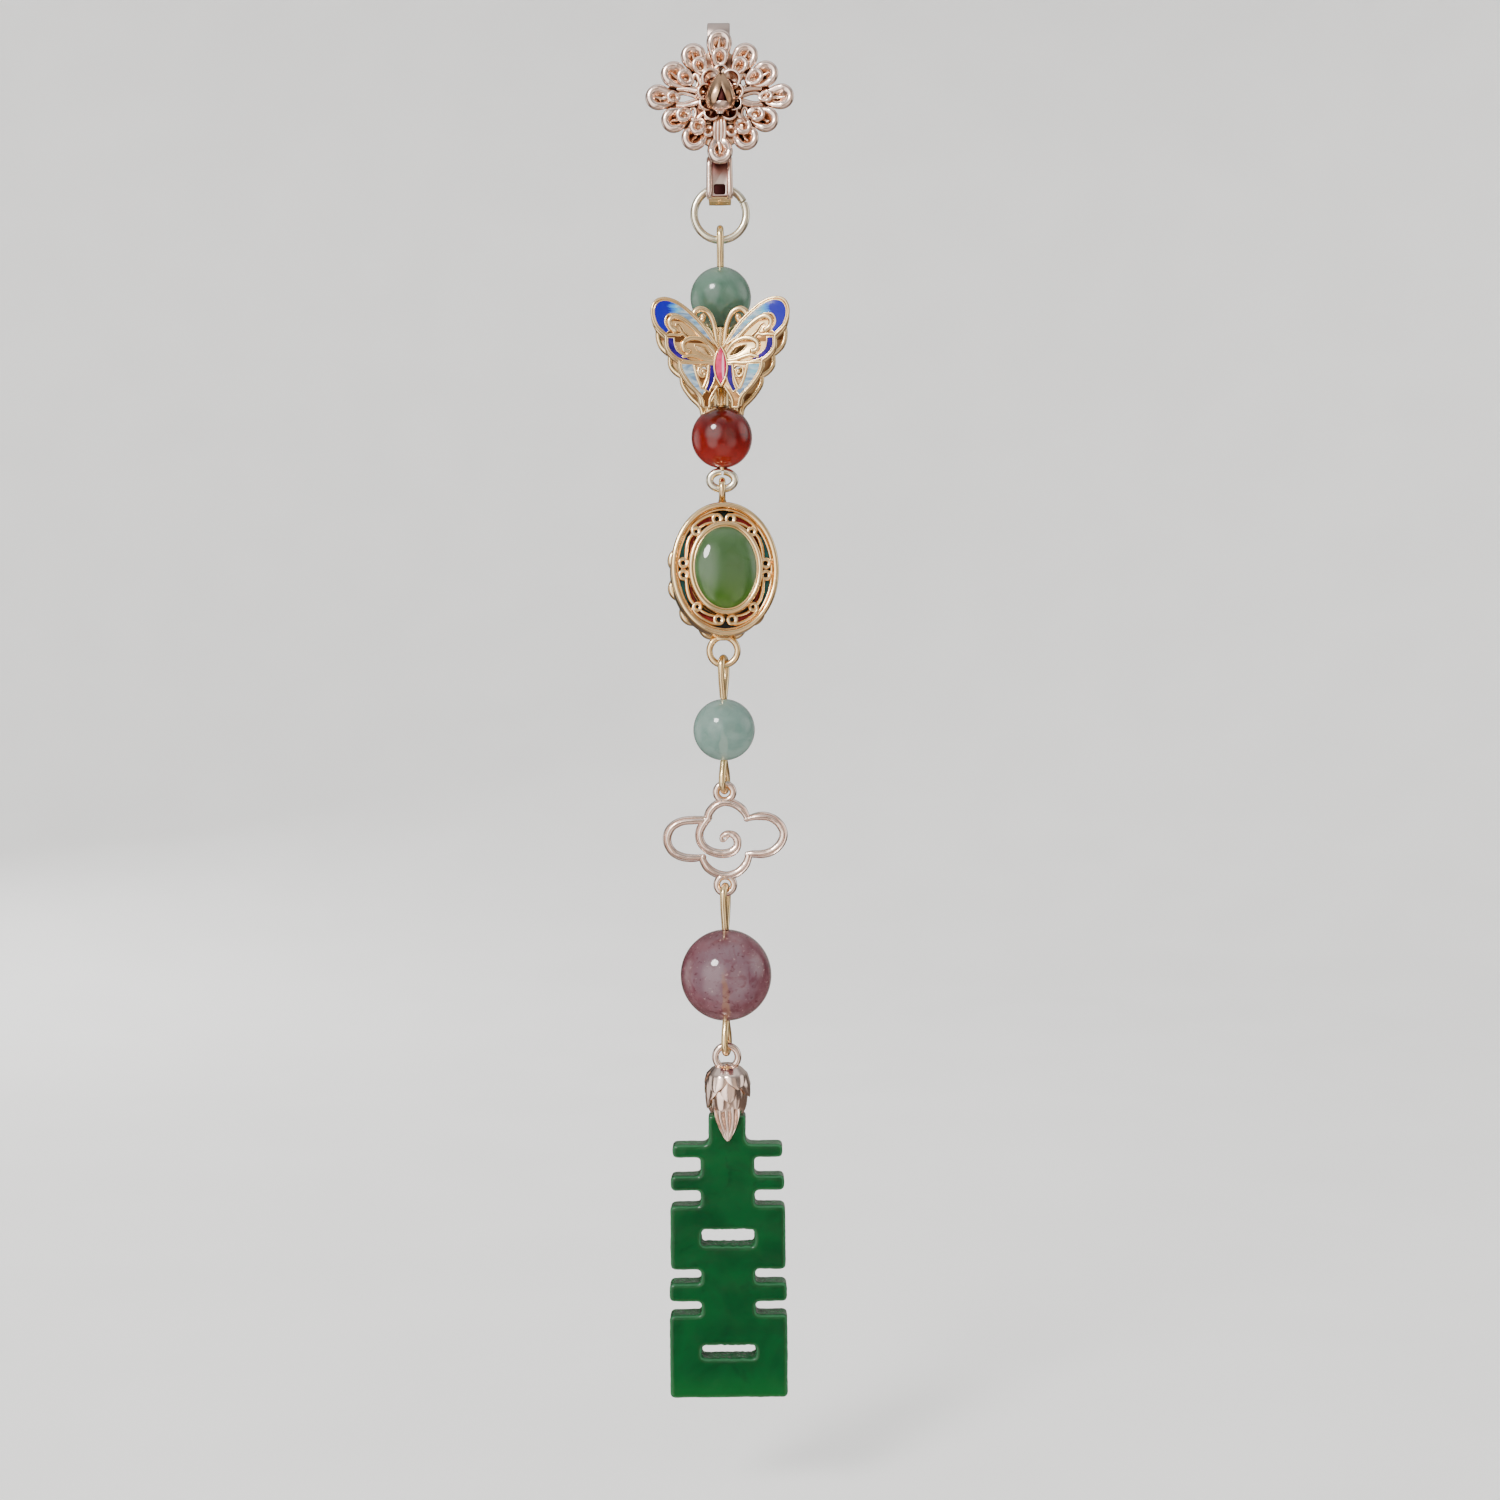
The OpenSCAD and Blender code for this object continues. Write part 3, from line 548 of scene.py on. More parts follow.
def cup(bm, profile, matrix, drop=0.6, stretch=0.4, folds=0, fold=0, shift=0, count=36, tint=0):
    # Open shell round the local Z axis from a profile of (radius, height, inside share). The side away from
    # local +Y is lowered by drop and drawn out by stretch; folds ripple the inside, shift moves it off centre
    part = bmesh.new()
    rows = len(profile) - 1
    bmesh.ops.create_grid(part, x_segments=count, y_segments=rows, size=1)
    for v in part.verts:
        angle = pi * v.co.x
        r, h, inside = profile[round((v.co.y + 1) / 2 * rows)]
        back = max(0, -cos(angle)) ** 1.5
        ripple = cos(folds * angle) if folds else 0
        r *= 1 + fold * ripple * inside
        h = h * (1 - drop * back) + 0.5 * fold * ripple * inside * r
        v.co = (r * sin(angle), r * cos(angle) * (1 + stretch * back) - shift * inside, h)
    bmesh.ops.remove_doubles(part, verts=part.verts, dist=0.002)
    join(bm, part, matrix, tint)


def leafOn(bm, leaf, radiusAt, angle, matrix=None, tint=0):
    # Pointed leaf laid round an upright form: bulges between its edges, has a crease and lifts at its tip
    part = bmesh.new()
    bmesh.ops.create_grid(part, x_segments=14, y_segments=20, size=1)
    for v in part.verts:
        s, t = v.co.x, (v.co.y + 1) / 2
        half = leaf["width"] / 2 * sin(pi * (leaf["base"] + (1 - leaf["base"]) * t)) ** leaf["point"]
        level = leaf["from"] - t * leaf["length"]
        swell = leaf["bulge"] * (1 - s * s) * sin(pi * min(1, 0.2 + 0.75 * t))
        crease = leaf["crease"] * exp(-(s / 0.13) ** 2) * sin(pi * t) ** 0.5
        r = radiusAt(level) + leaf["lift"] + leaf["flare"] * t ** 2.5 + swell - crease
        turn = angle + leaf["lean"] * t + s * half / max(1, r)
        v.co = (r * sin(turn), -r * cos(turn), level + leaf["dip"] * s * s)
    bmesh.ops.remove_doubles(part, verts=part.verts, dist=0.002)
    bmesh.ops.recalc_face_normals(part, faces=part.faces)
    bmesh.ops.solidify(part, geom=part.faces[:], thickness=leaf["thick"])
    join(bm, part, matrix, tint)


def ridgedWire(bm, points, half, taper, matrix, wobble):
    # Cast strip swept along a line in the front plane: rounded, with a groove along its outer third
    section = []
    for i in range(22):
        a = tau * i / 22
        u, w = cos(a), -sin(a)
        if w < 0:
            w = -abs(w) ** 0.75 * (1 - 0.3 * exp(-((u + 0.42) / 0.15) ** 2))
        section.append((u, w))
    part = bmesh.new()
    last = len(points) - 1
    bmesh.ops.create_grid(part, x_segments=22, y_segments=last, size=1)
    for v in part.verts:
        i, k = round((v.co.y + 1) / 2 * last), round((v.co.x + 1) / 2 * 22) % 22
        ahead, behind = Vector(points[min(last, i + 1)]), Vector(points[max(0, i - 1)])
        along = (ahead - behind).normalized()
        u, w = section[k]
        size = half * taperAt(taper, i / last)
        size *= 1 + wobble * noise.noise(Vector((i * 0.21, half * 40, 0)))
        p = points[i]
        v.co = (p[0] - along.y * u * size, w * size, p[1] + along.x * u * size)
    bmesh.ops.remove_doubles(part, verts=part.verts, dist=0.002)
    bmesh.ops.holes_fill(part, edges=[e for e in part.edges if e.is_boundary], sides=0)
    join(bm, part, matrix)


def markOpenness(bm, reach):
    # Share of free rays round each point, kept as a point value that the metals read
    tree = BVHTree.FromBMesh(bm)
    golden = pi * (3 - sqrt(5))
    rays = []
    for i in range(26):
        z = 1 - (2 * i + 1) / 26
        wide = sqrt(1 - z * z)
        rays.append(Vector((cos(golden * i) * wide, sin(golden * i) * wide, z)))
    layer = bm.verts.layers.float.new("openness")
    for v in bm.verts:
        start = v.co + v.normal * 0.02
        facing = [ray for ray in rays if ray.dot(v.normal) > 0.2]
        free = sum(1 for ray in facing if tree.ray_cast(start, ray, reach)[0] is None)
        v[layer] = free / max(1, len(facing))


def makePiece(name, bm, body, materials, replaced, sharp=55, reach=0):
    if reach:
        bmesh.ops.recalc_face_normals(bm, faces=bm.faces)
        bm.normal_update()
        markOpenness(bm, reach)
    bmesh.ops.scale(bm, vec=(mm, mm, mm), verts=bm.verts)
    bmesh.ops.recalc_face_normals(bm, faces=bm.faces)
    mesh = bpy.data.meshes.new(name)
    bm.to_mesh(mesh)
    bm.free()
    mesh.shade_smooth()
    mesh.set_sharp_from_angle(angle=radians(sharp))
    for material in materials:
        mesh.materials.append(materialFor(material))
    piece = bpy.data.objects.new(name, mesh)
    bpy.context.scene.collection.objects.link(piece)
    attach(piece, body)
    if replaced:
        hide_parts(*replaced)
    print(name, len(mesh.polygons), "faces")
    return piece


# Flower clasp

clasp = {
    "flowerDrop": 10.1, "plateBack": -2.6, "plateThick": 0.8, "hookWidth": 2.9,
    "stripThick": 0.8, "bend": 1.2, "legLength": 13.5, "loopDrop": 20.5, "loopHigh": 1.5,
    "petals": [(0, 6.95), (3.31, 5.22), (5.86, 2.93), (7.85, 0), (5.86, -2.93), (3.31, -5.22),
               (0, -6.95), (-3.31, -5.22), (-5.86, -2.93), (-7.85, 0), (-5.86, 2.93), (-3.31, 5.22)],
    "teardrop": [(2.5, 0), (3.4, 0.42), (4.5, 0.72), (5.3, 0.5), (5.6, 0), (5.3, -0.5), (4.5, -0.62),
                 (3.4, -0.32)],
    "smallGaps": [(3.15, 2, 0.5, 0.65), (3.3, -1.85, 0.36, 0.72), (1.5, -2.9, 0.5, 0.32)],
    "lean": 0.16,
    "tongue": [(0, -1.8, 0.35), (0.06, -1.1, 0.55), (-0.05, -0.5, 0.55), (0.04, 0.1, 0.75), (0, 0.45, 1)],
    "innerCups": [(6, 0.05, 0.8), (4.5, 2.5, 1.05), (2.6, 4, 1.05), (4.7, -2.35, 1), (2.9, -3.9, 1.1),
                  (0, 5.1, 1.1), (1.5, -4.4, 0.75)],
    "arms": [[(2, 0.9, 0.5), (3, 0.55, 0.85), (4.2, 0.4, 1.15), (5.4, 0.3, 1.15)],
             [(2.1, 0.9, -0.5), (3.1, 0.5, -0.75), (4.3, 0.35, -1), (5.5, 0.3, -0.95)],
             [(1.7, 0.8, -1.7), (2.5, 0.6, -2.4), (3, 0.5, -2.9), (3.9, 0.4, -2.6)],
             [(2.3, 0.6, 1.4), (2.55, 0.6, 2.2), (3, 0.5, 2.95), (3.9, 0.4, 1.9)]],
    "budCups": [(34, 2.7, 1.05, 14, 1), (76, 2.35, 0.85, 16, 0.5), (-30, 2.8, 1, 14, 1),
                (-76, 2.3, 0.9, 16, 0.5), (118, 2.35, 0.8, 16, 0.1), (-118, 2.3, 0.85, 16, 0.1),
                (152, 2.7, 0.85, 12, 0.3), (-152, 2.7, 0.85, 12, 0.3), (2, 3.2, 0.8, 12, 1)],
    "stems": [-0.62, -0.22, 0.2, 0.6],
}
bud = {
    "place": (-0.1, -1.75, -0.35), "nod": 8,
    "core": [(0.8, -1.6), (1.3, -0.7), (1.25, 0.4), (0.8, 1.5), (0.2, 2.1)],
    # Petals that lap over it: angle, width, height, then lift and lean
    "petals": [(178, 4.6, 2.7, 0.08, 0), (-112, 4.2, 2.7, 0.08, 0), (112, 4.2, 2.8, 0.08, 0),
               (-66, 2.35, 2.85, 0.2, 0.62), (64, 2.45, 2.95, 0.2, -0.62)],
    "petal": {"from": -1.9, "base": 0.12, "point": 0.62, "bulge": 0.2, "crease": 0.05, "flare": 0.12,
              "dip": 0, "thick": 0.16},
    "lip": {"from": -2.2, "length": -1.35, "width": 2.3, "base": 0.1, "point": 0.3, "bulge": 0.25,
            "crease": 0, "lift": 0.24, "flare": 0.25, "lean": 0, "dip": 0, "thick": 0.22},
}


def cupProfile(radius, height, lip, well):
    # From the foot up the outside, over the rolled lip and down into the well: radius, height, inside share
    profile = [(radius * 0.25, -0.3, 0), (radius * 0.62, -0.25, 0), (radius * 0.86, height * 0.2, 0)]
    profile += [(radius - lip + lip * cos(a), height - lip + lip * sin(a), 0)
                for a in (radians(-25 + 25 * i) for i in range(8))]
    start = radius - lip * 1.95
    profile += [(start * k, height - lip + (well - height + lip) * (1 - k) ** 0.8, 1)
                for k in (0.85, 0.6, 0.35, 0.15)]
    return profile + [(0.001, well, 0)]


def budRadius(level):
    # Onion form of the bud, widest a little below its middle
    share = min(1, max(0, (level + 1.9) / 4.5))
    return 0.35 + 1.42 * sin(pi * share ** 0.72) ** 0.8 * (1 - 0.25 * share)


def buildFlower(bm):
    lift = moved(0, 0, -clasp["flowerDrop"])
    faceY = clasp["plateBack"] - clasp["plateThick"]
    lean = Matrix.Identity(4)
    lean[0][1] = -clasp["lean"]
    lean[0][3] = clasp["lean"] * faceY
    base = lift @ lean
    outer = cupProfile(1.64, 1.5, 0.5, 0.25)
    for i, (x, z) in enumerate(clasp["petals"]):
        turn = Matrix.Rotation(atan2(x, z), 4, "Y")
        place = base @ moved(x, faceY + 0.25, z) @ turn @ front
        cup(bm, outer, place, 0.55, 0.5, 5 if i % 2 else 4, 0.16, 0.28)
        wire(bm, smooth(clasp["tongue"], 4), 0.27, taper=[0.9, 1.1, 0.95, 0.7, 0.4], matrix=place, sides=3)
    # Pierced plate that carries the petals
    outline = smooth([(0.92 * x, 0.92 * z) for x, z in clasp["petals"]], 4, True)
    gaps = [smooth(clasp["teardrop"], 3, True)]
    gaps += [oval(a, b, 16, x, z) for x, z, a, b in clasp["smallGaps"]]
    gaps += [mirrored(gap) for gap in gaps]
    plate(bm, [outline] + gaps, clasp["plateBack"], clasp["plateThick"], 0.1, lift)
    for gap in gaps:
        trace(bm, lift, gap, faceY - 0.1, 0.24, True, sides=3)
    # Second row: small cups between the outer petals and the openings
    small = cupProfile(1, 1.35, 0.3, 0.2)
    for x, z, size in clasp["innerCups"]:
        for side in ((1, -1) if x else (1,)):
            turn = Matrix.Rotation(atan2(side * x, z), 4, "Y")
            place = base @ moved(side * x, faceY, z) @ turn @ front @ Matrix.Diagonal((size, size, size, 1))
            cup(bm, small, place, 0.5, 0.35, 3, 0.12, 0.12, 28)
    # Arms that run from the bud out along the openings
    for side in (1, -1):
        for line in clasp["arms"]:
            path = smooth([(side * x, faceY - y, z) for x, y, z in line], 4)
            wire(bm, path, 0.3, taper=[0.9, 1.1, 1.1, 0.8], matrix=base, sides=3)
    # Petals that cup the bud, with thin lips
    for angle, reach, size, tip, well in clasp["budCups"]:
        thin = cupProfile(1.25, 1.5, 0.2, well)
        turn = turned(angle, "Y") @ moved(0, faceY - 0.15, reach)
        rise = turned(tip, "X") @ front
        cup(bm, thin, base @ turn @ rise @ Matrix.Diagonal((size, size, size, 1)), 0.35, 0.3, 3, 0.1, 0, 30)
    # Bud: a dark mouth, painted shade on the core, between two lapped petals that close to a point at the
    # top, and a pale lower lip
    x, y, z = bud["place"]
    nod = base @ moved(x, faceY + y, z) @ turned(bud["nod"], "X")
    spun(bm, [(0.001, -1.7)] + smooth(bud["core"], 3) + [(0.001, 2.2)], 32, nod, 2)
    for angle, width, high, lift, lean in bud["petals"]:
        petal = {**bud["petal"], "length": -(high + 1.9), "width": width, "lift": lift, "lean": lean}
        leafOn(bm, petal, budRadius, radians(angle), nod, 1)
    leafOn(bm, bud["lip"], budRadius, 0, nod)
    # Ribbed stem from the bud down to the lowest petal
    for x in clasp["stems"]:
        stem = [(x * 0.6, faceY - 0.7, -2.3), (x, faceY - 0.75, -3.4),
                (x * 1.1, faceY - 0.5, -4.6), (x * 0.9, faceY - 0.3, -5.6)]
        wire(bm, smooth(stem, 4), 0.25, taper=[0.7, 1, 1, 0.8], matrix=base, sides=3)


# Raised front of the fold: half width and height of face and window, rolled sides and gold bars by (y, z)
strap = {
    "face": (1.2, 2.9, -1.75), "faceThick": 0.28, "window": (0.74, 0.66, 0.82), "corner": 0.28,
    "rail": [(-0.2, 3.2), (-0.4, 2.4), (-0.38, 0.8), (-0.37, -0.7), (-0.24, -1.45), (0.2, -1.78)],
    "bars": [(-1.86, -1.72), (-1.46, -1.86), (-1.06, -1.92), (-0.66, -1.92), (-0.26, -1.92), (0.14, -1.9),
             (0.54, -1.84)],
    "railAt": 1.32, "barHalf": 1.42,
}


def stripRibbon(bm, path, width, thick, soften=0.12):
    # Bent strip along a side path of (y, z), extruded across and given its thickness
    part = bmesh.new()
    chain = [part.verts.new((-width / 2, y, z)) for y, z in path]
    edges = [part.edges.new(pair) for pair in zip(chain, chain[1:])]
    made = bmesh.ops.extrude_edge_only(part, edges=edges)["geom"]
    bmesh.ops.translate(part, vec=(width, 0, 0), verts=[g for g in made if isinstance(g, bmesh.types.BMVert)])
    bmesh.ops.recalc_face_normals(part, faces=part.faces)
    bmesh.ops.solidify(part, geom=part.faces[:], thickness=thick)
    bmesh.ops.recalc_face_normals(part, faces=part.faces)
    sharp = [e for e in part.edges if len(e.link_faces) == 2 and e.calc_face_angle() > 0.9]
    bmesh.ops.bevel(part, geom=sharp, offset=soften, offset_type="OFFSET", affect="EDGES", segments=2,
                    profile=0.5, material=-1)
    join(bm, part)


def buildStrip():
    thick, bend, width = clasp["stripThick"], clasp["bend"], clasp["hookWidth"]
    outer = bend + thick
    low, high = -clasp["loopDrop"], -clasp["loopDrop"] + clasp["loopHigh"]

    def arc(z, first, last):
        angles = [radians(first + (last - first) * i / 15) for i in range(16)]
        return [(outer * cos(a), z + outer * sin(a)) for a in angles]

    # One strip: toe, rear leg, crown, front, fold under and up again behind
    bm = bmesh.new()
    leg = [(outer + 0.75, -bend - clasp["legLength"] - 2), (outer, -bend - clasp["legLength"])]
    stripRibbon(bm, leg + arc(-bend, 0, 180) + arc(low, 180, 360) + arc(high, 0, 118), width, thick)
    makePiece("hookStrip", bm, "clasp", ["satinStrip"], [], 50, 1.4)
    # Rolled sides, the face with its window and a dark sheet behind it, painted shade seen through the window
    bm = bmesh.new()
    middle = clasp["loopDrop"]
    wide, high, drop = strap["window"]
    corners = ((-1, -1), (1, -1), (1, 1), (-1, 1))
    window = roundedOutline([(x * wide, z * high - middle - drop, strap["corner"]) for x, z in corners])
    half, top, foot = strap["face"]
    face = [(-half, top - middle), (half, top - middle), (half, foot - middle), (-half, foot - middle)]
    plate(bm, [face, window], -outer + 0.05, strap["faceThick"], 0.05, None, 2, 1)
    # The dark sheet behind the window is painted shade
    ground = [(x * 1.05, (z + middle) * 1.05 - middle) for x, z in window]
    plate(bm, [ground], -outer + 0.06, 0.1, 0.02, None, 2, 2)
    for side in (-1, 1):
        rail = smooth([(-outer + y, z - middle) for y, z in strap["rail"]], 4)
        wire(bm, [(side * strap["railAt"], y, z) for y, z in rail], 0.4, taper=[0.8, 0.9, 1, 1.1, 0.9])
    # Gold bars side by side under the fold
    reach = strap["barHalf"]
    for y, z in strap["bars"]:
        part = bmesh.new()
        bar = [(-reach, y, z - middle), (0, y, z - 0.04 - middle), (reach, y, z - middle)]
        wire(part, smooth(bar, 5), 0.24)
        join(bm, part, None, 3)
    golds = ["roseGold", "satinStrip", "darkRecess", "yellowGold"]
    makePiece("strapFront", bm, "clasp", golds, [], 50, 1.2)


def buildClasp():
    bm = bmesh.new()
    buildFlower(bm)
    golds = ["roseGold", "budGold", "darkRecess"]
    makePiece("flowerHead", bm, "clasp", golds, ["clasp"], 70, 1.4)
    buildStrip()


# Rings and pins

links = {
    "jumpLevel": -23.87, "jumpRadius": 3.37, "jumpWire": 0.5, "jumpGap": 26, "jumpStep": 0.32,
    "pinWire": 0.45, "eyeRadius": 1.25,
    "wideEye": (1.62, 1.15, -58.42),
    # The node, the eyes by base, tip and turn, and the two ends of the shaft
    "pins": {
        "upperPinWire": ("upper_pin", [(-30.8, -25.79, 0)], (-31.2, -57)),
        "middlePinWire": ("middle_pin", [(-86.79, -81.49, -14), (-94.89, -98.8, -14)], (-87, -94.7)),
        "lowerPinWire": ("lower_pin", [(-116.78, -111.11, -12), (-128.58, -132.8, -12)], (-117, -128.4)),
    },
}


def buildJumpRing():
    bm = bmesh.new()
    gap = links["jumpGap"]
    path = []
    for i in range(97):
        a = radians(gap + 1.6 + (360 - 3.2) * i / 96)
        step = -links["jumpStep"] / 2 + links["jumpStep"] * i / 96
        path.append((links["jumpRadius"] * cos(a), step, links["jumpLevel"] + links["jumpRadius"] * sin(a)))
    wire(bm, path, links["jumpWire"], sides=6)
    makePiece("jumpRingWire", bm, "string", ["paleGold"], ["jump_ring"], 55, 0.8)


def eyePath(base, tip, turn):
    # Long eye of wire: up one strand, round the end and back down the other to the bead
    r = links["eyeRadius"]
    way = 1 if tip > base else -1
    centre = tip - way * r
    high = abs(centre - base)
    points = [(0, 0), (0.3 * r, 0.22 * high), (0.8 * r, 0.62 * high), (0.98 * r, 0.92 * high)]
    points += [(r * cos(a), high + r * sin(a)) for a in (radians(15 + 25 * i) for i in range(7))]
    points += [(-0.98 * r, 0.92 * high), (-0.84 * r, 0.62 * high), (-0.46 * r, 0.22 * high),
               (-0.3 * r, 0.02 * high)]
    turn = radians(90 + turn)
    return [(p * cos(turn), p * sin(turn), base + way * q) for p, q in smooth(points, 3)]


def buildPins():
    for name, (node, eyes, (top, foot)) in links["pins"].items():
        bm = bmesh.new()
        for base, tip, turn in eyes:
            wire(bm, eyePath(base, tip, turn), links["pinWire"], sides=5)
        shaft = [(0, 0, top + 0.2), (0, 0, (top + foot) / 2), (0, 0, foot - 0.2)]
        wire(bm, shaft, links["pinWire"] - 0.01, sides=5)
        if name == "upperPinWire":
            wide, high, level = links["wideEye"]
            eye = [(wide * sin(a), 0.06 * sin(a / 2), level + high * cos(a))
                   for a in (radians(8 + 348 * i / 48) for i in range(49))]
            part = bmesh.new()
            wire(part, eye, 0.5, sides=5)
            join(bm, part, None, 1)
        makePiece(name, bm, "string", ["pinGold", "paleGold"], [node], 55, 0.8)


# Beads

beads = {
    "greenBead": ("green_bead", "green_stone", "greenStone", -34.75, 3.95),
    "redBead": ("red_bead", "red_stone", "redStone", -52.9, 3.95),
    "aquaBead": ("aqua_bead", "aqua_stone", "aquaStone", -90.84, 4),
    "quartzBead": ("quartz_bead", "pink_quartz", "pinkQuartz", -122.68, 5.9),
}
drill = 0.55


def buildBeads():
    for name, (node, slot, stone, level, radius) in beads.items():
        start = asin((drill + 0.12) / radius)
        outside = [(radius * sin(a), radius * cos(a))
                   for a in (start + (pi - 2 * start) * i / 44 for i in range(45))]
        inside = [(drill, outside[-1][1] + 0.25), (drill, outside[0][1] - 0.25)]
        bm = bmesh.new()
        spun(bm, outside + inside + [outside[0]], 72, moved(0, 0, level))
        makePiece(name, bm, "string", [stone], [node], 75)


# Butterfly

wing = {
    "level": -44.55, "plateY": 3.6, "thick": 0.85, "turn": 12, "tube": (-38.8, -48.85), "barReach": 3.7,
    "top": [(0.4, 2.3), (2.6, 5.4), (5.15, 7.6), (7, 8.35), (8.4, 8.05), (9, 6.7), (8.55, 4.9), (7.2, 3.6)],
    "middle": [(7.2, 3.6), (7.15, 2.1), (6.4, 1.1), (5.5, 0.5)],
    "low": [(5.5, 0.5), (5.3, -0.8), (4.15, -2.5), (2.75, -3.95), (2.4, -5.3)],
    "inside": [(1.65, -5.3), (1.6, -4.2), (0.65, -2.6)],
    "cobalt": ([(6, 7.8), (7.1, 8.12), (8.2, 7.82), (8.74, 6.65), (8.32, 5), (7.2, 3.88)],
               [(6.75, 4.3), (7.35, 5.3), (6.95, 6.3), (6, 6.45)]),
    "pale": ([(0.95, 2.75), (2.7, 5.15), (4.9, 7.15), (6, 7.8)],
             [(6, 6.47), (5.2, 6.1), (3.75, 5.05), (2.2, 3.6)]),
    "indigo": ([(7.02, 3.4), (6.94, 2.15), (6.22, 1.24), (5.3, 0.7), (3.9, 0.5)],
               [(4.9, 1.15), (5.75, 1.75), (6.1, 2.5), (6.2, 3.4)]),
    "ice": ([(5.28, 0.15), (5.08, -0.8), (3.98, -2.43), (2.62, -3.85)],
            [(2.15, -3.3), (2.85, -2.1), (3.5, -0.9), (3.75, 0.15)]),
    "inner": ([(0.98, 0.15), (0.92, -1.2), (1.15, -2.2), (1.75, -3.35)],
              [(2.2, -3.05), (1.85, -2.2), (1.7, -1), (1.65, 0.15)]),
    "spindle": ([(0, 2.35), (0.4, 1.5), (0.62, 0.55), (0.64, -0.35), (0.46, -1.35), (0, -2.35)],
                [(-0.46, -1.35), (-0.64, -0.35), (-0.62, 0.55), (-0.4, 1.5)]),
    "gapComma": [(4, 3.55), (4.75, 4.2), (5.3, 5), (5.75, 5.25), (5.95, 4.95), (5.55, 4.85), (5.15, 4.15),
                 (4.45, 3.5)],
    "gapSlit": [(1.25, 1.3), (2.1, 2.35), (3.5, 2.65), (3.2, 2), (2.2, 1.4)],
    "gapHook": [(2, -1.35), (2.7, -1.45), (3.05, -0.85), (2.75, -0.15), (2.1, 0), (1.85, -0.45),
                (2.35, -0.55), (2.4, -0.95)],
    "scrolls": [
        ([(0.9, 1.7), (2.1, 3.15), (3.55, 4.65), (4.9, 5.72), (6, 6.12), (6.72, 5.6), (6.6, 4.8),
          (6.05, 4.35)], 0.38, [0.5, 0.8, 1, 1, 1.1, 1.05, 0.95, 1.15]),
        ([(0.7, 1.45), (1.6, 2.7), (2.9, 3.4), (4.2, 3.35), (5, 2.7), (4.85, 1.9), (4.3, 1.75)], 0.34,
         [0.5, 0.9, 1, 1.1, 1.2, 1.1, 1.2]),
        ([(0.7, 0.75), (2, 0.75), (3.2, 1.1), (4.1, 1.25), (5, 1)], 0.3, [0.7, 0.9, 1, 1, 0.8]),
        ([(7.1, 3.7), (6.3, 3.8), (5.6, 3.75), (5, 3.9), (4.4, 3.2)], 0.24, [0.8, 1, 1, 0.9, 0.6]),
        ([(0.75, 0.3), (1.9, 0.42), (3.2, 0.3), (4.6, 0.4), (5.3, 0.35)], 0.26, [0.8, 1, 1.1, 1, 0.8]),
        ([(1.72, 0.1), (1.85, -1.2), (2.2, -2.3), (2.6, -2.9), (3, -2.1), (3.35, -1.1), (3.55, -0.1)], 0.24,
         [0.9, 1, 1, 1, 1.1, 1.1, 0.9]),
        ([(3, -0.3), (3.08, -0.95), (2.6, -1.42), (2.2, -1.05), (2.45, -0.75)], 0.2,
         [0.8, 1, 1.1, 1.2, 1.5])],
    "antenna": [(0.42, 1.9), (0.55, 3.6), (0.85, 5.4), (1.45, 6.75), (2.4, 7.3), (3.2, 6.95), (3.4, 6.2),
                (2.95, 5.7), (2.35, 5.85), (2.2, 6.4)],
}


def wingOutline():
    return ([(-0.4, 2.3)] + smooth(wing["top"], 4) + smooth(wing["middle"], 4) + smooth(wing["low"], 4)
            + smooth(wing["inside"], 3) + [(-0.4, -2.6)])


def cell(name):
    outer, inner = wing[name]
    return smooth(outer, 4) + smooth(inner, 4)


def bodyPlaces():
    # Front and back of the body
    for depth in (1, -1):
        yield Matrix.Diagonal((1, depth, 1, 1)) @ moved(0, -wing["plateY"], wing["level"])


def wingPlaces():
    # Matrices of the four wings: right and left, front and back
    for depth in (1, -1):
        for side in (1, -1):
            flip = Matrix.Diagonal((side, depth, 1, 1))
            yield flip @ moved(0, -wing["plateY"], wing["level"]) @ turned(-wing["turn"], "Z")


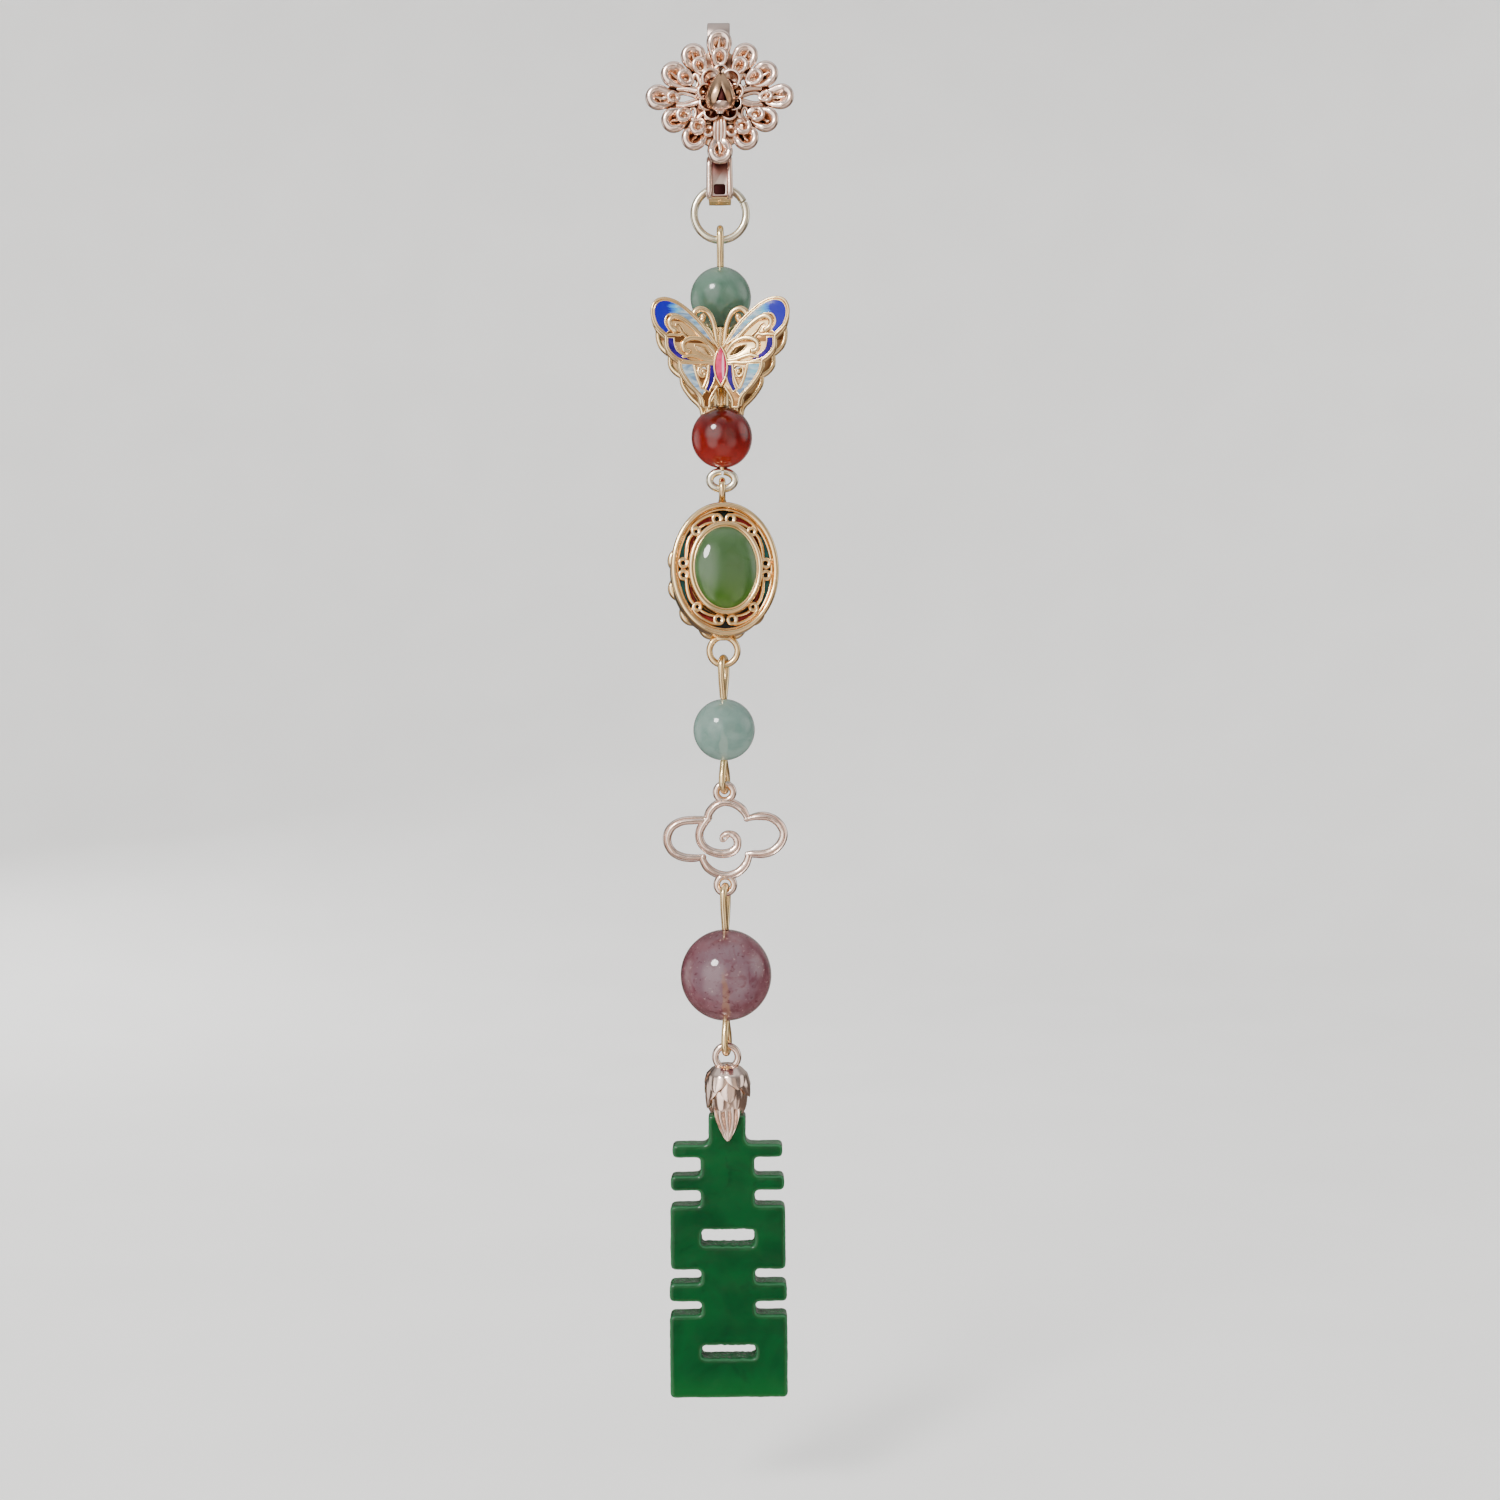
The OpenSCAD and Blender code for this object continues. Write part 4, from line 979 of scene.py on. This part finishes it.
def buildButterfly():
    bm = bmesh.new()
    gaps = [smooth(wing[name], 3, True) for name in ("gapComma", "gapSlit", "gapHook")]
    faceY = -wing["thick"]
    for place in wingPlaces():
        plate(bm, [wingOutline()] + gaps, 0, wing["thick"] - 0.1, 0.1, place)
        # A darker gold sheet on each plate's inner face: painted shade between the front and back plates
        inset = [(4.3 + 0.92 * (x - 4.3), 1.4 + 0.93 * (z - 1.4)) for x, z in wingOutline()[1:-1]]
        plate(bm, [inset] + gaps, 0.1, 0.12, 0.03, place, 2, 1)
        trace(bm, place, inset, 0.02, 0.36)
        trace(bm, place, wingOutline()[1:-1], faceY + 0.06, 0.19, sides=2)
        for name in ("indigo", "ice", "inner"):
            trace(bm, place, cell(name), faceY + 0.04, 0.12, True, sides=2)
        # No partition between the blue tip and the pale cell: the colours run into each other
        tip, inward = (smooth(part, 4) for part in wing["pale"])
        for line in (cell("cobalt"), tip, inward + tip[:1]):
            trace(bm, place, line, faceY + 0.04, 0.12, sides=2)
        for line, half, shape in wing["scrolls"]:
            path = smooth(line, 4)
            trace(bm, place, path, faceY + 0.45 * half, half, taper=shape, sides=3)
            end = path[-1]
            reach = half * shape[-1]
            ball(bm, (end[0], faceY + 0.45 * half, end[1]), (reach, reach, reach), 6, place)
        for gap in gaps:
            trace(bm, place, gap, faceY + 0.1, 0.1, True, sides=2)
    for flat in bodyPlaces():
        rimmed = [(1.25 * x, 1.1 * z) for x, z in cell("spindle")]
        plate(bm, [rimmed], 0.1, wing["thick"] + 0.3, 0.05, flat)
        trace(bm, flat, rimmed, faceY - 0.2, 0.17, True, sides=2)
        for side in (1, -1):
            curl = [(side * x, faceY + 0.35 - 0.12 * i, z) for i, (x, z) in enumerate(wing["antenna"][:5])]
            curl += [(side * x, faceY - 0.15, z) for x, z in wing["antenna"][5:]]
            wire(bm, smooth(curl, 5), 0.38, taper=[0.9, 0.95, 1, 1.1, 1.05, 1], matrix=flat)
            ball(bm, (side * 2.25, faceY - 0.15, 6.25), (0.44, 0.44, 0.44), 8, flat)
    # Tube on the pin and the two bars that carry the plates
    top, bottom = wing["tube"]
    spun(bm, [(0.55, bottom), (1, bottom), (1, top), (0.55, top), (0.55, bottom)], 32)
    reach = wing["barReach"]
    for level in (wing["level"] - 1.4, wing["level"] + 1.4):
        wire(bm, [(0, -reach, level), (0, 0, level), (0, reach, level)], 0.5, sides=3)
    for side in (-1, 1):
        tail = [(side * 0.62, -0.95, wing["level"] - 2.2), (side * 0.5, -1, -47.6),
                (side * 0.42, -0.95, bottom + 0.15)]
        wire(bm, tail, 0.3, sides=3)
    golds = ["yellowGold", "innerGold"]
    makePiece("butterflyGold", bm, "string", golds, ["butterfly"], 60, 0.5)

    # Enamel: the blue tip is the second material, so that it runs on from the pale cell
    for name, cells, slot, glazes, nodes in (
            ("wingCobalt", ("indigo", "inner", "cobalt"), "blue_enamel", ["indigoEnamel", "iceEnamel"],
             ["butterfly_blue_front", "butterfly_blue_back"]),
            ("wingIce", ("pale", "ice"), "pale_enamel", ["iceEnamel"],
             ["butterfly_pale_front", "butterfly_pale_back"])):
        bm = bmesh.new()
        for place in wingPlaces():
            for patch in cells:
                plate(bm, [cell(patch)], faceY + 0.3, 0.32, 0.02, place, 2, 1 if patch == "cobalt" else 0)
        makePiece(name, bm, "string", glazes, nodes, 40)
    bm = bmesh.new()
    for flat in bodyPlaces():
        plate(bm, [[(0.98 * x, 0.98 * z) for x, z in cell("spindle")]], faceY - 0.1, 0.34, 0.07, flat, 3)
    nodes = ["butterfly_pink_front", "butterfly_pink_back"]
    makePiece("bodyPink", bm, "string", ["pinkEnamel"], nodes, 40)


# Oval setting

ovalBox = {
    "level": -70.4, "turn": 7, "tilt": -5, "a": 7, "b": 8.72, "fieldY": -1.6, "rimY": -2.9, "backY": 1.15,
    "stoneA": 4.15, "stoneB": 5.45, "bezelY": -3.7, "lobes": 12, "lobeRadius": 1.75,
    # Radius and level of the eye above and the ring below, and what joins them to the box
    "eye": (1.3, -59.77), "ring": (1.82, -80.6), "ringWire": 0.43,
    "neck": [(0, 0, -60.9), (0, 0.1, -61.5), (0, 0.15, -62.3)],
    "foot": [(-1, -78.2), (1, -78.2), (0.9, -79.25), (-0.9, -79.25)],
    "scrolls": [([(0.9, 7.12), (1.8, 7.02), (2.9, 6.52), (3.75, 5.85), (4.15, 5.2), (4.05, 4.6)], 0.25),
                ([(1.3, 6.1), (2.2, 5.92), (2.95, 5.55), (3.3, 5.25)], 0.2),
                ([(4.05, 4.6), (4.5, 3.95), (4.8, 3), (4.94, 2), (5, 1.2)], 0.27)],
    "curls": [(0.86, 6.55, 0.74), (5.32, 0.78, 0.72), (3.6, 4.9, 0.62)],
    "crescents": [[(5.15, 1.5), (5.12, 2.6), (4.98, 3.4), (4.7, 4.3), (5.1, 4.05), (5.45, 3.2), (5.75, 2.2),
                   (5.8, 1.5)]],
    "wedges": [[(1.45, 6.86), (2.3, 6.68), (3.1, 6.2), (3.7, 5.6), (3.4, 5.5), (2.9, 5.8), (2.2, 6.12),
                (1.45, 6.26)],
               [(3.75, 4.35), (4.1, 4.1), (4.42, 3.2), (4.5, 2.3), (4.35, 2.3), (4.15, 3.1)]],
}


def ovalPlace():
    return moved(0, 0, ovalBox["level"]) @ turned(ovalBox["turn"], "Z") @ turned(ovalBox["tilt"], "X")


def quadrants(points):
    for sx in (1, -1):
        for sz in (1, -1):
            yield [(sx * p[0], sz * p[1]) for p in points]


def buildOval():
    place = ovalPlace()
    a, b, field = ovalBox["a"], ovalBox["b"], ovalBox["fieldY"]
    bm = bmesh.new()
    plate(bm, [oval(a - 0.5, b - 0.5, 96)], ovalBox["backY"], ovalBox["backY"] - field, 0.1, place)
    plate(bm, [oval(a - 0.12, b - 0.12, 96), oval(a - 0.72, b - 0.72, 96)], 0.5,
          0.5 - ovalBox["rimY"] - 0.15, 0.25, place, 4)
    trace(bm, place, oval(a - 0.4, b - 0.4, 120), ovalBox["rimY"] + 0.32, 0.4, True, sides=5)
    trace(bm, place, oval(a - 0.88, b - 0.88, 120), field - 0.5, 0.22, True)
    # Bezel: an outer roll and the thin lip that grips the stone
    sa, sb = ovalBox["stoneA"], ovalBox["stoneB"]
    plate(bm, [oval(sa + 0.55, sb + 0.55, 96), oval(sa + 0.02, sb + 0.02, 96)], field + 0.2,
          field + 0.2 - ovalBox["bezelY"] - 0.2, 0.12, place, 3)
    trace(bm, place, oval(sa + 0.29, sb + 0.29, 120), ovalBox["bezelY"] + 0.28, 0.33, True)
    trace(bm, place, oval(sa - 0.1, sb - 0.1, 120), ovalBox["bezelY"] + 0.22, 0.13, True, sides=3)
    for line, thick in ovalBox["scrolls"]:
        for path in quadrants(smooth(line, 5)):
            trace(bm, place, path, field - 0.62, thick, taper=[0.9, 1, 1.1, 1, 0.85], sides=3)
            trace(bm, place, path, field - 0.2, thick * 0.8, sides=2)
    for x, z, r in ovalBox["curls"]:
        for (cx, cz), in quadrants([(x, z)]):
            way = (1 if cx > 0 else -1) * (1 if cz > 0 else -1)
            spiral = []
            for i in range(30):
                angle = way * radians(90 - 17 * i)
                reach = r * (0.74 - 0.25 * max(0, i - 20) / 10)
                spiral.append((cx + reach * cos(angle), field - 0.62, cz + reach * sin(angle)))
            wire(bm, spiral, 0.26, taper=[1, 1, 1, 1, 0.8], matrix=place)
    # Scalloped back, its lobes standing a little proud of the rim
    size = ovalBox["lobeRadius"]
    for i in range(ovalBox["lobes"]):
        angle = tau * i / ovalBox["lobes"] + radians(15)
        plate(bm, [oval(size, size, 32, 5.48 * cos(angle), 7.05 * sin(angle))], 2.45, 1.35, 0.4, place, 4)
        groove = oval(0.85, 0.85, 24, 5.4 * cos(angle), 6.95 * sin(angle))
        trace(bm, place, groove, 2.45, 0.16, True, sides=2)
    plate(bm, [oval(5.2, 6.7, 72)], 2.5, 1.2, 0.25, place, 3)
    trace(bm, place, oval(4.1, 5.5, 72), 2.5, 0.22, True, sides=3)
    trace(bm, place, oval(3.5, 4.9, 72), 2.5, 0.12, True, sides=2)
    ball(bm, (0, 2.3, 0), (3.42, 0.5, 4.82), 28, place)
    # Eye above and ring below, soldered on
    radius, level = ovalBox["eye"]
    eye = [(0, -radius * sin(t), level + radius * cos(t)) for t in (tau * i / 48 for i in range(48))]
    wire(bm, eye, ovalBox["ringWire"], True, sides=5)
    wire(bm, ovalBox["neck"], 0.6, taper=[0.75, 1, 1.1], sides=5)
    radius, level = ovalBox["ring"]
    wire(bm, ringPath(radius, level, 60), ovalBox["ringWire"], True, sides=5)
    plate(bm, [ovalBox["foot"]], 0.45, 0.9, 0.15)
    makePiece("ovalGold", bm, "string", ["yellowGold"], ["oval_setting"], 60, 0.9)

    # Enamel in the field: dark ground, teal crescents outside the scrolls and red wedges inside them
    inner, outer = oval(sa + 0.6, sb + 0.6, 120), oval(a - 0.85, b - 0.85, 120)
    bm = bmesh.new()
    plate(bm, [outer, inner], field - 0.02, 0.16, 0.03, place)
    makePiece("fieldGround", bm, "string", ["darkEnamel"], ["oval_green_enamel"], 40)
    for name, shapes, steps, thick, slot, enamel, nodes in (
            ("tealCrescents", "crescents", 4, 0.22, "green_enamel", "tealEnamel", []),
            ("redWedges", "wedges", 3, 0.24, "red_enamel", "redEnamel", ["oval_red_enamel"])):
        bm = bmesh.new()
        for shape in ovalBox[shapes]:
            for path in quadrants(smooth(shape, steps, True)):
                plate(bm, [path], field - 0.16, thick, 0.06, place)
        makePiece(name, bm, "string", [enamel], nodes, 40)
    bm = bmesh.new()
    ball(bm, (0, 0, 0), (sa + 0.02, 1.9, sb + 0.02), 36)
    bmesh.ops.bisect_plane(bm, geom=bm.verts[:] + bm.edges[:] + bm.faces[:], plane_co=(0, 0.1, 0),
                           plane_no=(0, 1, 0), clear_outer=True)
    bmesh.ops.holes_fill(bm, edges=[e for e in bm.edges if e.is_boundary], sides=0)
    bmesh.ops.transform(bm, matrix=place @ moved(0, ovalBox["bezelY"] + 0.62, 0), verts=bm.verts)
    makePiece("domedStone", bm, "string", ["greenCabochon"], ["oval_cabochon"], 60)


# Cloud charm

cloud = {
    "level": -104.93, "half": 0.55,
    "left": [(-2.3, 2.42), (-4, 2.38), (-5.6, 2.22), (-6.85, 1.55), (-7.47, 0.45), (-7.4, -0.75),
             (-6.65, -1.85), (-5.3, -2.45), (-3.75, -2.55), (-2.75, -2.35)],
    "low": [(-3.05, -2.5), (-2.35, -3.75), (-1.1, -4.6), (0.35, -4.85), (1.7, -4.4), (2.65, -3.45),
            (3.1, -2.3)],
    "right": [(2.62, -2.12), (3.5, -2.08), (5, -2.08), (6.3, -1.62), (7.3, -0.6), (7.62, 0.6), (7.1, 1.8),
              (5.95, 2.65), (4.4, 2.85), (2.6, 2.45)],
    "top": [(2.95, 2.6), (2.3, 3.7), (1.25, 4.45), (-0.05, 4.72), (-1.25, 4.25), (-2.05, 3.3), (-2.2, 2.5)],
    "spiral": [(-2.15, 2.7), (-2.75, 1.95), (-3.25, 1), (-3.3, 0), (-2.85, -0.95), (-1.9, -1.65), (-0.6, -2),
               (0.7, -1.85), (1.5, -1.2), (1.6, -0.3), (1.2, 0.35), (0.5, 0.6), (-0.15, 0.45), (-0.5, 0.1)],
    "hook": [(-0.48, 0.12), (-0.42, -0.25), (-0.1, -0.3), (0.25, -0.02), (0.55, 0.2)],
    "tapers": {"left": [0.9, 1, 1, 1.02, 1.05, 1, 1, 1, 0.9, 0.6], "low": [0.8, 1, 1, 1, 1, 1, 0.8],
               "right": [0.5, 0.85, 1, 1, 1.02, 1, 1, 1, 1, 0.6], "top": [0.7, 1, 1.02, 1, 1, 1, 1],
               "spiral": [1, 1, 1.02, 1, 1.05, 1.05, 0.95, 0.9, 0.72, 0.5]},
    "solder": [(-2.5, 2.42, 0.5), (-2.85, -2.45, 0.42), (2.95, -2.2, 0.42), (2.85, 2.52, 0.42)],
    "rings": [(-98.95, 0.97), (-110.96, 1)],
}


def buildCloud():
    bm = bmesh.new()
    lift = moved(0, 0, cloud["level"])
    half = cloud["half"]
    for name, taper in cloud["tapers"].items():
        ridgedWire(bm, smooth(cloud[name], 6), half, taper, lift, 0.1 if name == "spiral" else 0.12)
    trace(bm, lift, smooth(cloud["hook"], 5), -0.1, 0.2, taper=[1.3, 1.2, 1, 0.7, 0.3])
    # Soldered ends of the four strips
    for x, z, size in cloud["solder"]:
        ball(bm, (x, 0, z), (size, size, size), 10, lift)
    for level, squeeze in cloud["rings"]:
        wire(bm, ringPath(1.1, level, 48, squeeze), 0.45, True, sides=6)
    makePiece("cloudWire", bm, "string", ["roseGold"], ["cloud_charm"], 60, 0.9)


# Leaf cap over the tablet's neck

leafCap = {
    "ring": -133.32,
    "core": [(0.4, -134.4), (1.2, -134.75), (1.9, -135.5), (2.25, -136.8), (2.35, -138.4), (2.25, -139.8),
             (1.9, -140.6)],
    "knob": [(0.001, -134.1), (0.5, -134.15), (0.95, -134.35), (1.15, -134.7), (0.9, -135), (0.001, -135.1)],
    "plain": {"base": 0.14, "point": 0.68, "bulge": 0.24, "crease": 0.06, "dip": 0, "thick": 0.16, "lean": 0},
    "rows": [
        (7, 12, {"from": -137.5, "length": 4.1, "width": 2.7, "lift": -0.05, "flare": 0}),
        (6, -24, {"from": -135.9, "length": 4, "width": 3.3, "lift": 0.12, "flare": 0.14}),
        (6, 8, {"from": -134.8, "length": 3.7, "width": 3.1, "lift": 0.3, "flare": 0.22}),
        (5, -36, {"from": -134.3, "length": 2.9, "width": 3, "lift": 0.42, "flare": 0.34})],
    "tongue": {"top": -138.3, "tip": -143.85, "half": 1.6, "ribs": 4.6},
}


def capRadius(level):
    core = leafCap["core"]
    for (r0, z0), (r1, z1) in zip(core, core[1:]):
        if z1 <= level <= z0:
            return r0 + (r1 - r0) * (z0 - level) / (z0 - z1)
    return core[0][0] if level > core[0][1] else max(0.6, core[-1][0] - 0.2 * (core[-1][1] - level))


def ribbedTongue(bm, depth):
    # Long leaf that laps the neck; its ribs run together at the tip
    look = leafCap["tongue"]
    part = bmesh.new()
    bmesh.ops.create_grid(part, x_segments=56, y_segments=30, size=1)
    for v in part.verts:
        s, t = v.co.x, (v.co.y + 1) / 2
        half = look["half"] * sin(pi * (0.34 + 0.63 * t)) ** 0.85
        level = look["top"] + t * (look["tip"] - look["top"])
        ridge = abs(cos(pi * (s * (look["ribs"] - 1) / 2 + 0.12 * sin(5 * t)))) ** 0.85
        rise = 0.36 * ridge * sin(pi * min(0.96, 0.04 + 1.1 * t)) ** 0.7 * (1 - t ** 6)
        # Round like the cap at its root, flat on the stone further down
        flat = min(1, t * 2.2)
        near = sqrt(max(0.1, 2.3 ** 2 - (s * half) ** 2)) * (1 - flat) + (2 - 0.12 * s * s) * flat
        v.co = (s * half + 0.08 * t, depth * (near + rise), level)
    bmesh.ops.remove_doubles(part, verts=part.verts, dist=0.002)
    bmesh.ops.recalc_face_normals(part, faces=part.faces)
    bmesh.ops.solidify(part, geom=part.faces[:], thickness=0.12)
    join(bm, part)


def buildLeafCap():
    bm = bmesh.new()
    wire(bm, ringPath(1.47, leafCap["ring"], 48), 0.45, True, sides=6)
    spun(bm, [(0.001, -134.3)] + smooth(leafCap["core"], 3) + [(0.001, -140.55)], 40)
    spun(bm, leafCap["knob"], 28)
    for count, first, row in leafCap["rows"]:
        leaf = {**leafCap["plain"], **row}
        for i in range(count):
            # Each leaf a little different, as cut by hand
            uneven = sin(2.3 * i + first)
            own = {**leaf, "length": leaf["length"] * (1 + 0.09 * uneven),
                   "lean": 0.09 * sin(4.1 * i + 0.5 * first), "lift": leaf["lift"] + 0.13 * (i % 2)}
            leafOn(bm, own, capRadius, radians(first + 360 * i / count + 4 * uneven))
    for depth in (-1, 1):
        ribbedTongue(bm, depth)
    makePiece("leafCap", bm, "tablet", ["roseGold"], ["leaf_bail"], 50, 0.6)


# Green tablet

tablet = {
    "top": -144.4, "thick": 3.4, "core": 7, "neck": 4.8, "neckHigh": 3.75, "peg": 1.3, "pegHigh": 2.4,
    "blocks": [(0, 1.7, 14.3), (4.03, 5.97, 14.7), (7.9, 16.15, 14.9), (17.9, 20.3, 15.2), (22, 32.7, 15.2)],
    "slots": [(11, 13.06, 6.9), (25.95, 27.6, 7)],
    "pegFoot": 2.9, "corner": 0.7, "inner": 0.55, "voxel": 0.17,
}


def roundedOutline(corners):
    # Outline with each corner turned by its own radius, three numbers a corner
    out = []
    count = len(corners)
    for i, (x, z, r) in enumerate(corners):
        here = Vector((x, z))
        before = Vector(corners[i - 1][:2]) - here
        after = Vector(corners[(i + 1) % count][:2]) - here
        r = min(r, before.length * 0.48, after.length * 0.48)
        start, end = here + before.normalized() * r, here + after.normalized() * r
        for k in range(6):
            t = k / 5
            out.append(tuple(start * (1 - t) ** 2 + here * 2 * t * (1 - t) + end * t * t))
    return out


def tabletOutline():
    half, neck = tablet["core"] / 2, tablet["neck"] / 2
    right = [(neck, tablet["neckHigh"], 0.3), (neck, 0, 0.9)]
    for i, (top, bottom, width) in enumerate(tablet["blocks"]):
        if i:
            right.append((half, -top, tablet["inner"]))
        right += [(width / 2, -top, tablet["corner"]), (width / 2, -bottom, tablet["corner"])]
        if i < len(tablet["blocks"]) - 1:
            right.append((half, -bottom, tablet["inner"]))
    return roundedOutline(right + [(-x, z, r) for x, z, r in reversed(right)])


def buildTablet():
    bm = bmesh.new()
    lift = moved(0, 0, tablet["top"])
    holes = []
    for top, bottom, width in tablet["slots"]:
        half = width / 2
        corners = ((-half, -top), (half, -top), (half, -bottom), (-half, -bottom))
        holes.append(roundedOutline([(*corner, 0.5) for corner in corners]))
    plate(bm, [tabletOutline()] + holes, tablet["thick"] / 2, tablet["thick"], 0.38, lift, 2)
    peg, foot, head = tablet["peg"], tablet["pegFoot"], tablet["neckHigh"] + tablet["pegHigh"]
    spun(bm, [(0.001, foot), (peg, foot), (peg, head), (0.001, head)], 24, lift)
    piece = makePiece("jadeTablet", bm, "tablet", ["jadeGreen"], ["jade_tablet"], 60)
    remesh = piece.modifiers.new("carve", "REMESH")
    remesh.mode, remesh.voxel_size = "VOXEL", tablet["voxel"] * mm
    shape = bpy.data.meshes.new_from_object(piece.evaluated_get(bpy.context.evaluated_depsgraph_get()))
    piece.modifiers.clear()
    old, piece.data = piece.data, shape
    bpy.data.meshes.remove(old)
    bm = bmesh.new()
    bm.from_mesh(shape)
    for _ in range(3):
        bmesh.ops.smooth_vert(bm, verts=bm.verts, factor=0.5, use_axis_x=True, use_axis_y=True,
                              use_axis_z=True)
    bm.normal_update()
    # Hand-cut waviness, and chips along the walls of the two slots
    for v in bm.verts:
        spot = v.co * 1000
        down = tablet["top"] - spot.z
        sawn = any(top - 0.5 < down < bottom + 0.9 and abs(spot.x) < width / 2 + 0.6
                   for top, bottom, width in tablet["slots"])
        wall = 1 - abs(v.normal.y)
        wave = noise.noise(spot * 0.45) * 0.05 + noise.noise(spot * 1.6) * (0.012 + 0.025 * wall)
        if sawn and v.normal.y < 0.3:
            wave += noise.noise(spot * 2.6) * 0.16 * wall
        v.co += v.normal * wave * mm
    bm.to_mesh(shape)
    bm.free()
    shape.shade_smooth()
    print("tablet carved:", len(shape.polygons), "faces")


buildStudio()
print("studio ready")
for build in (buildClasp, buildJumpRing, buildPins, buildBeads, buildButterfly, buildOval, buildCloud,
              buildLeafCap, buildTablet):
    build()
print("pieces ready")
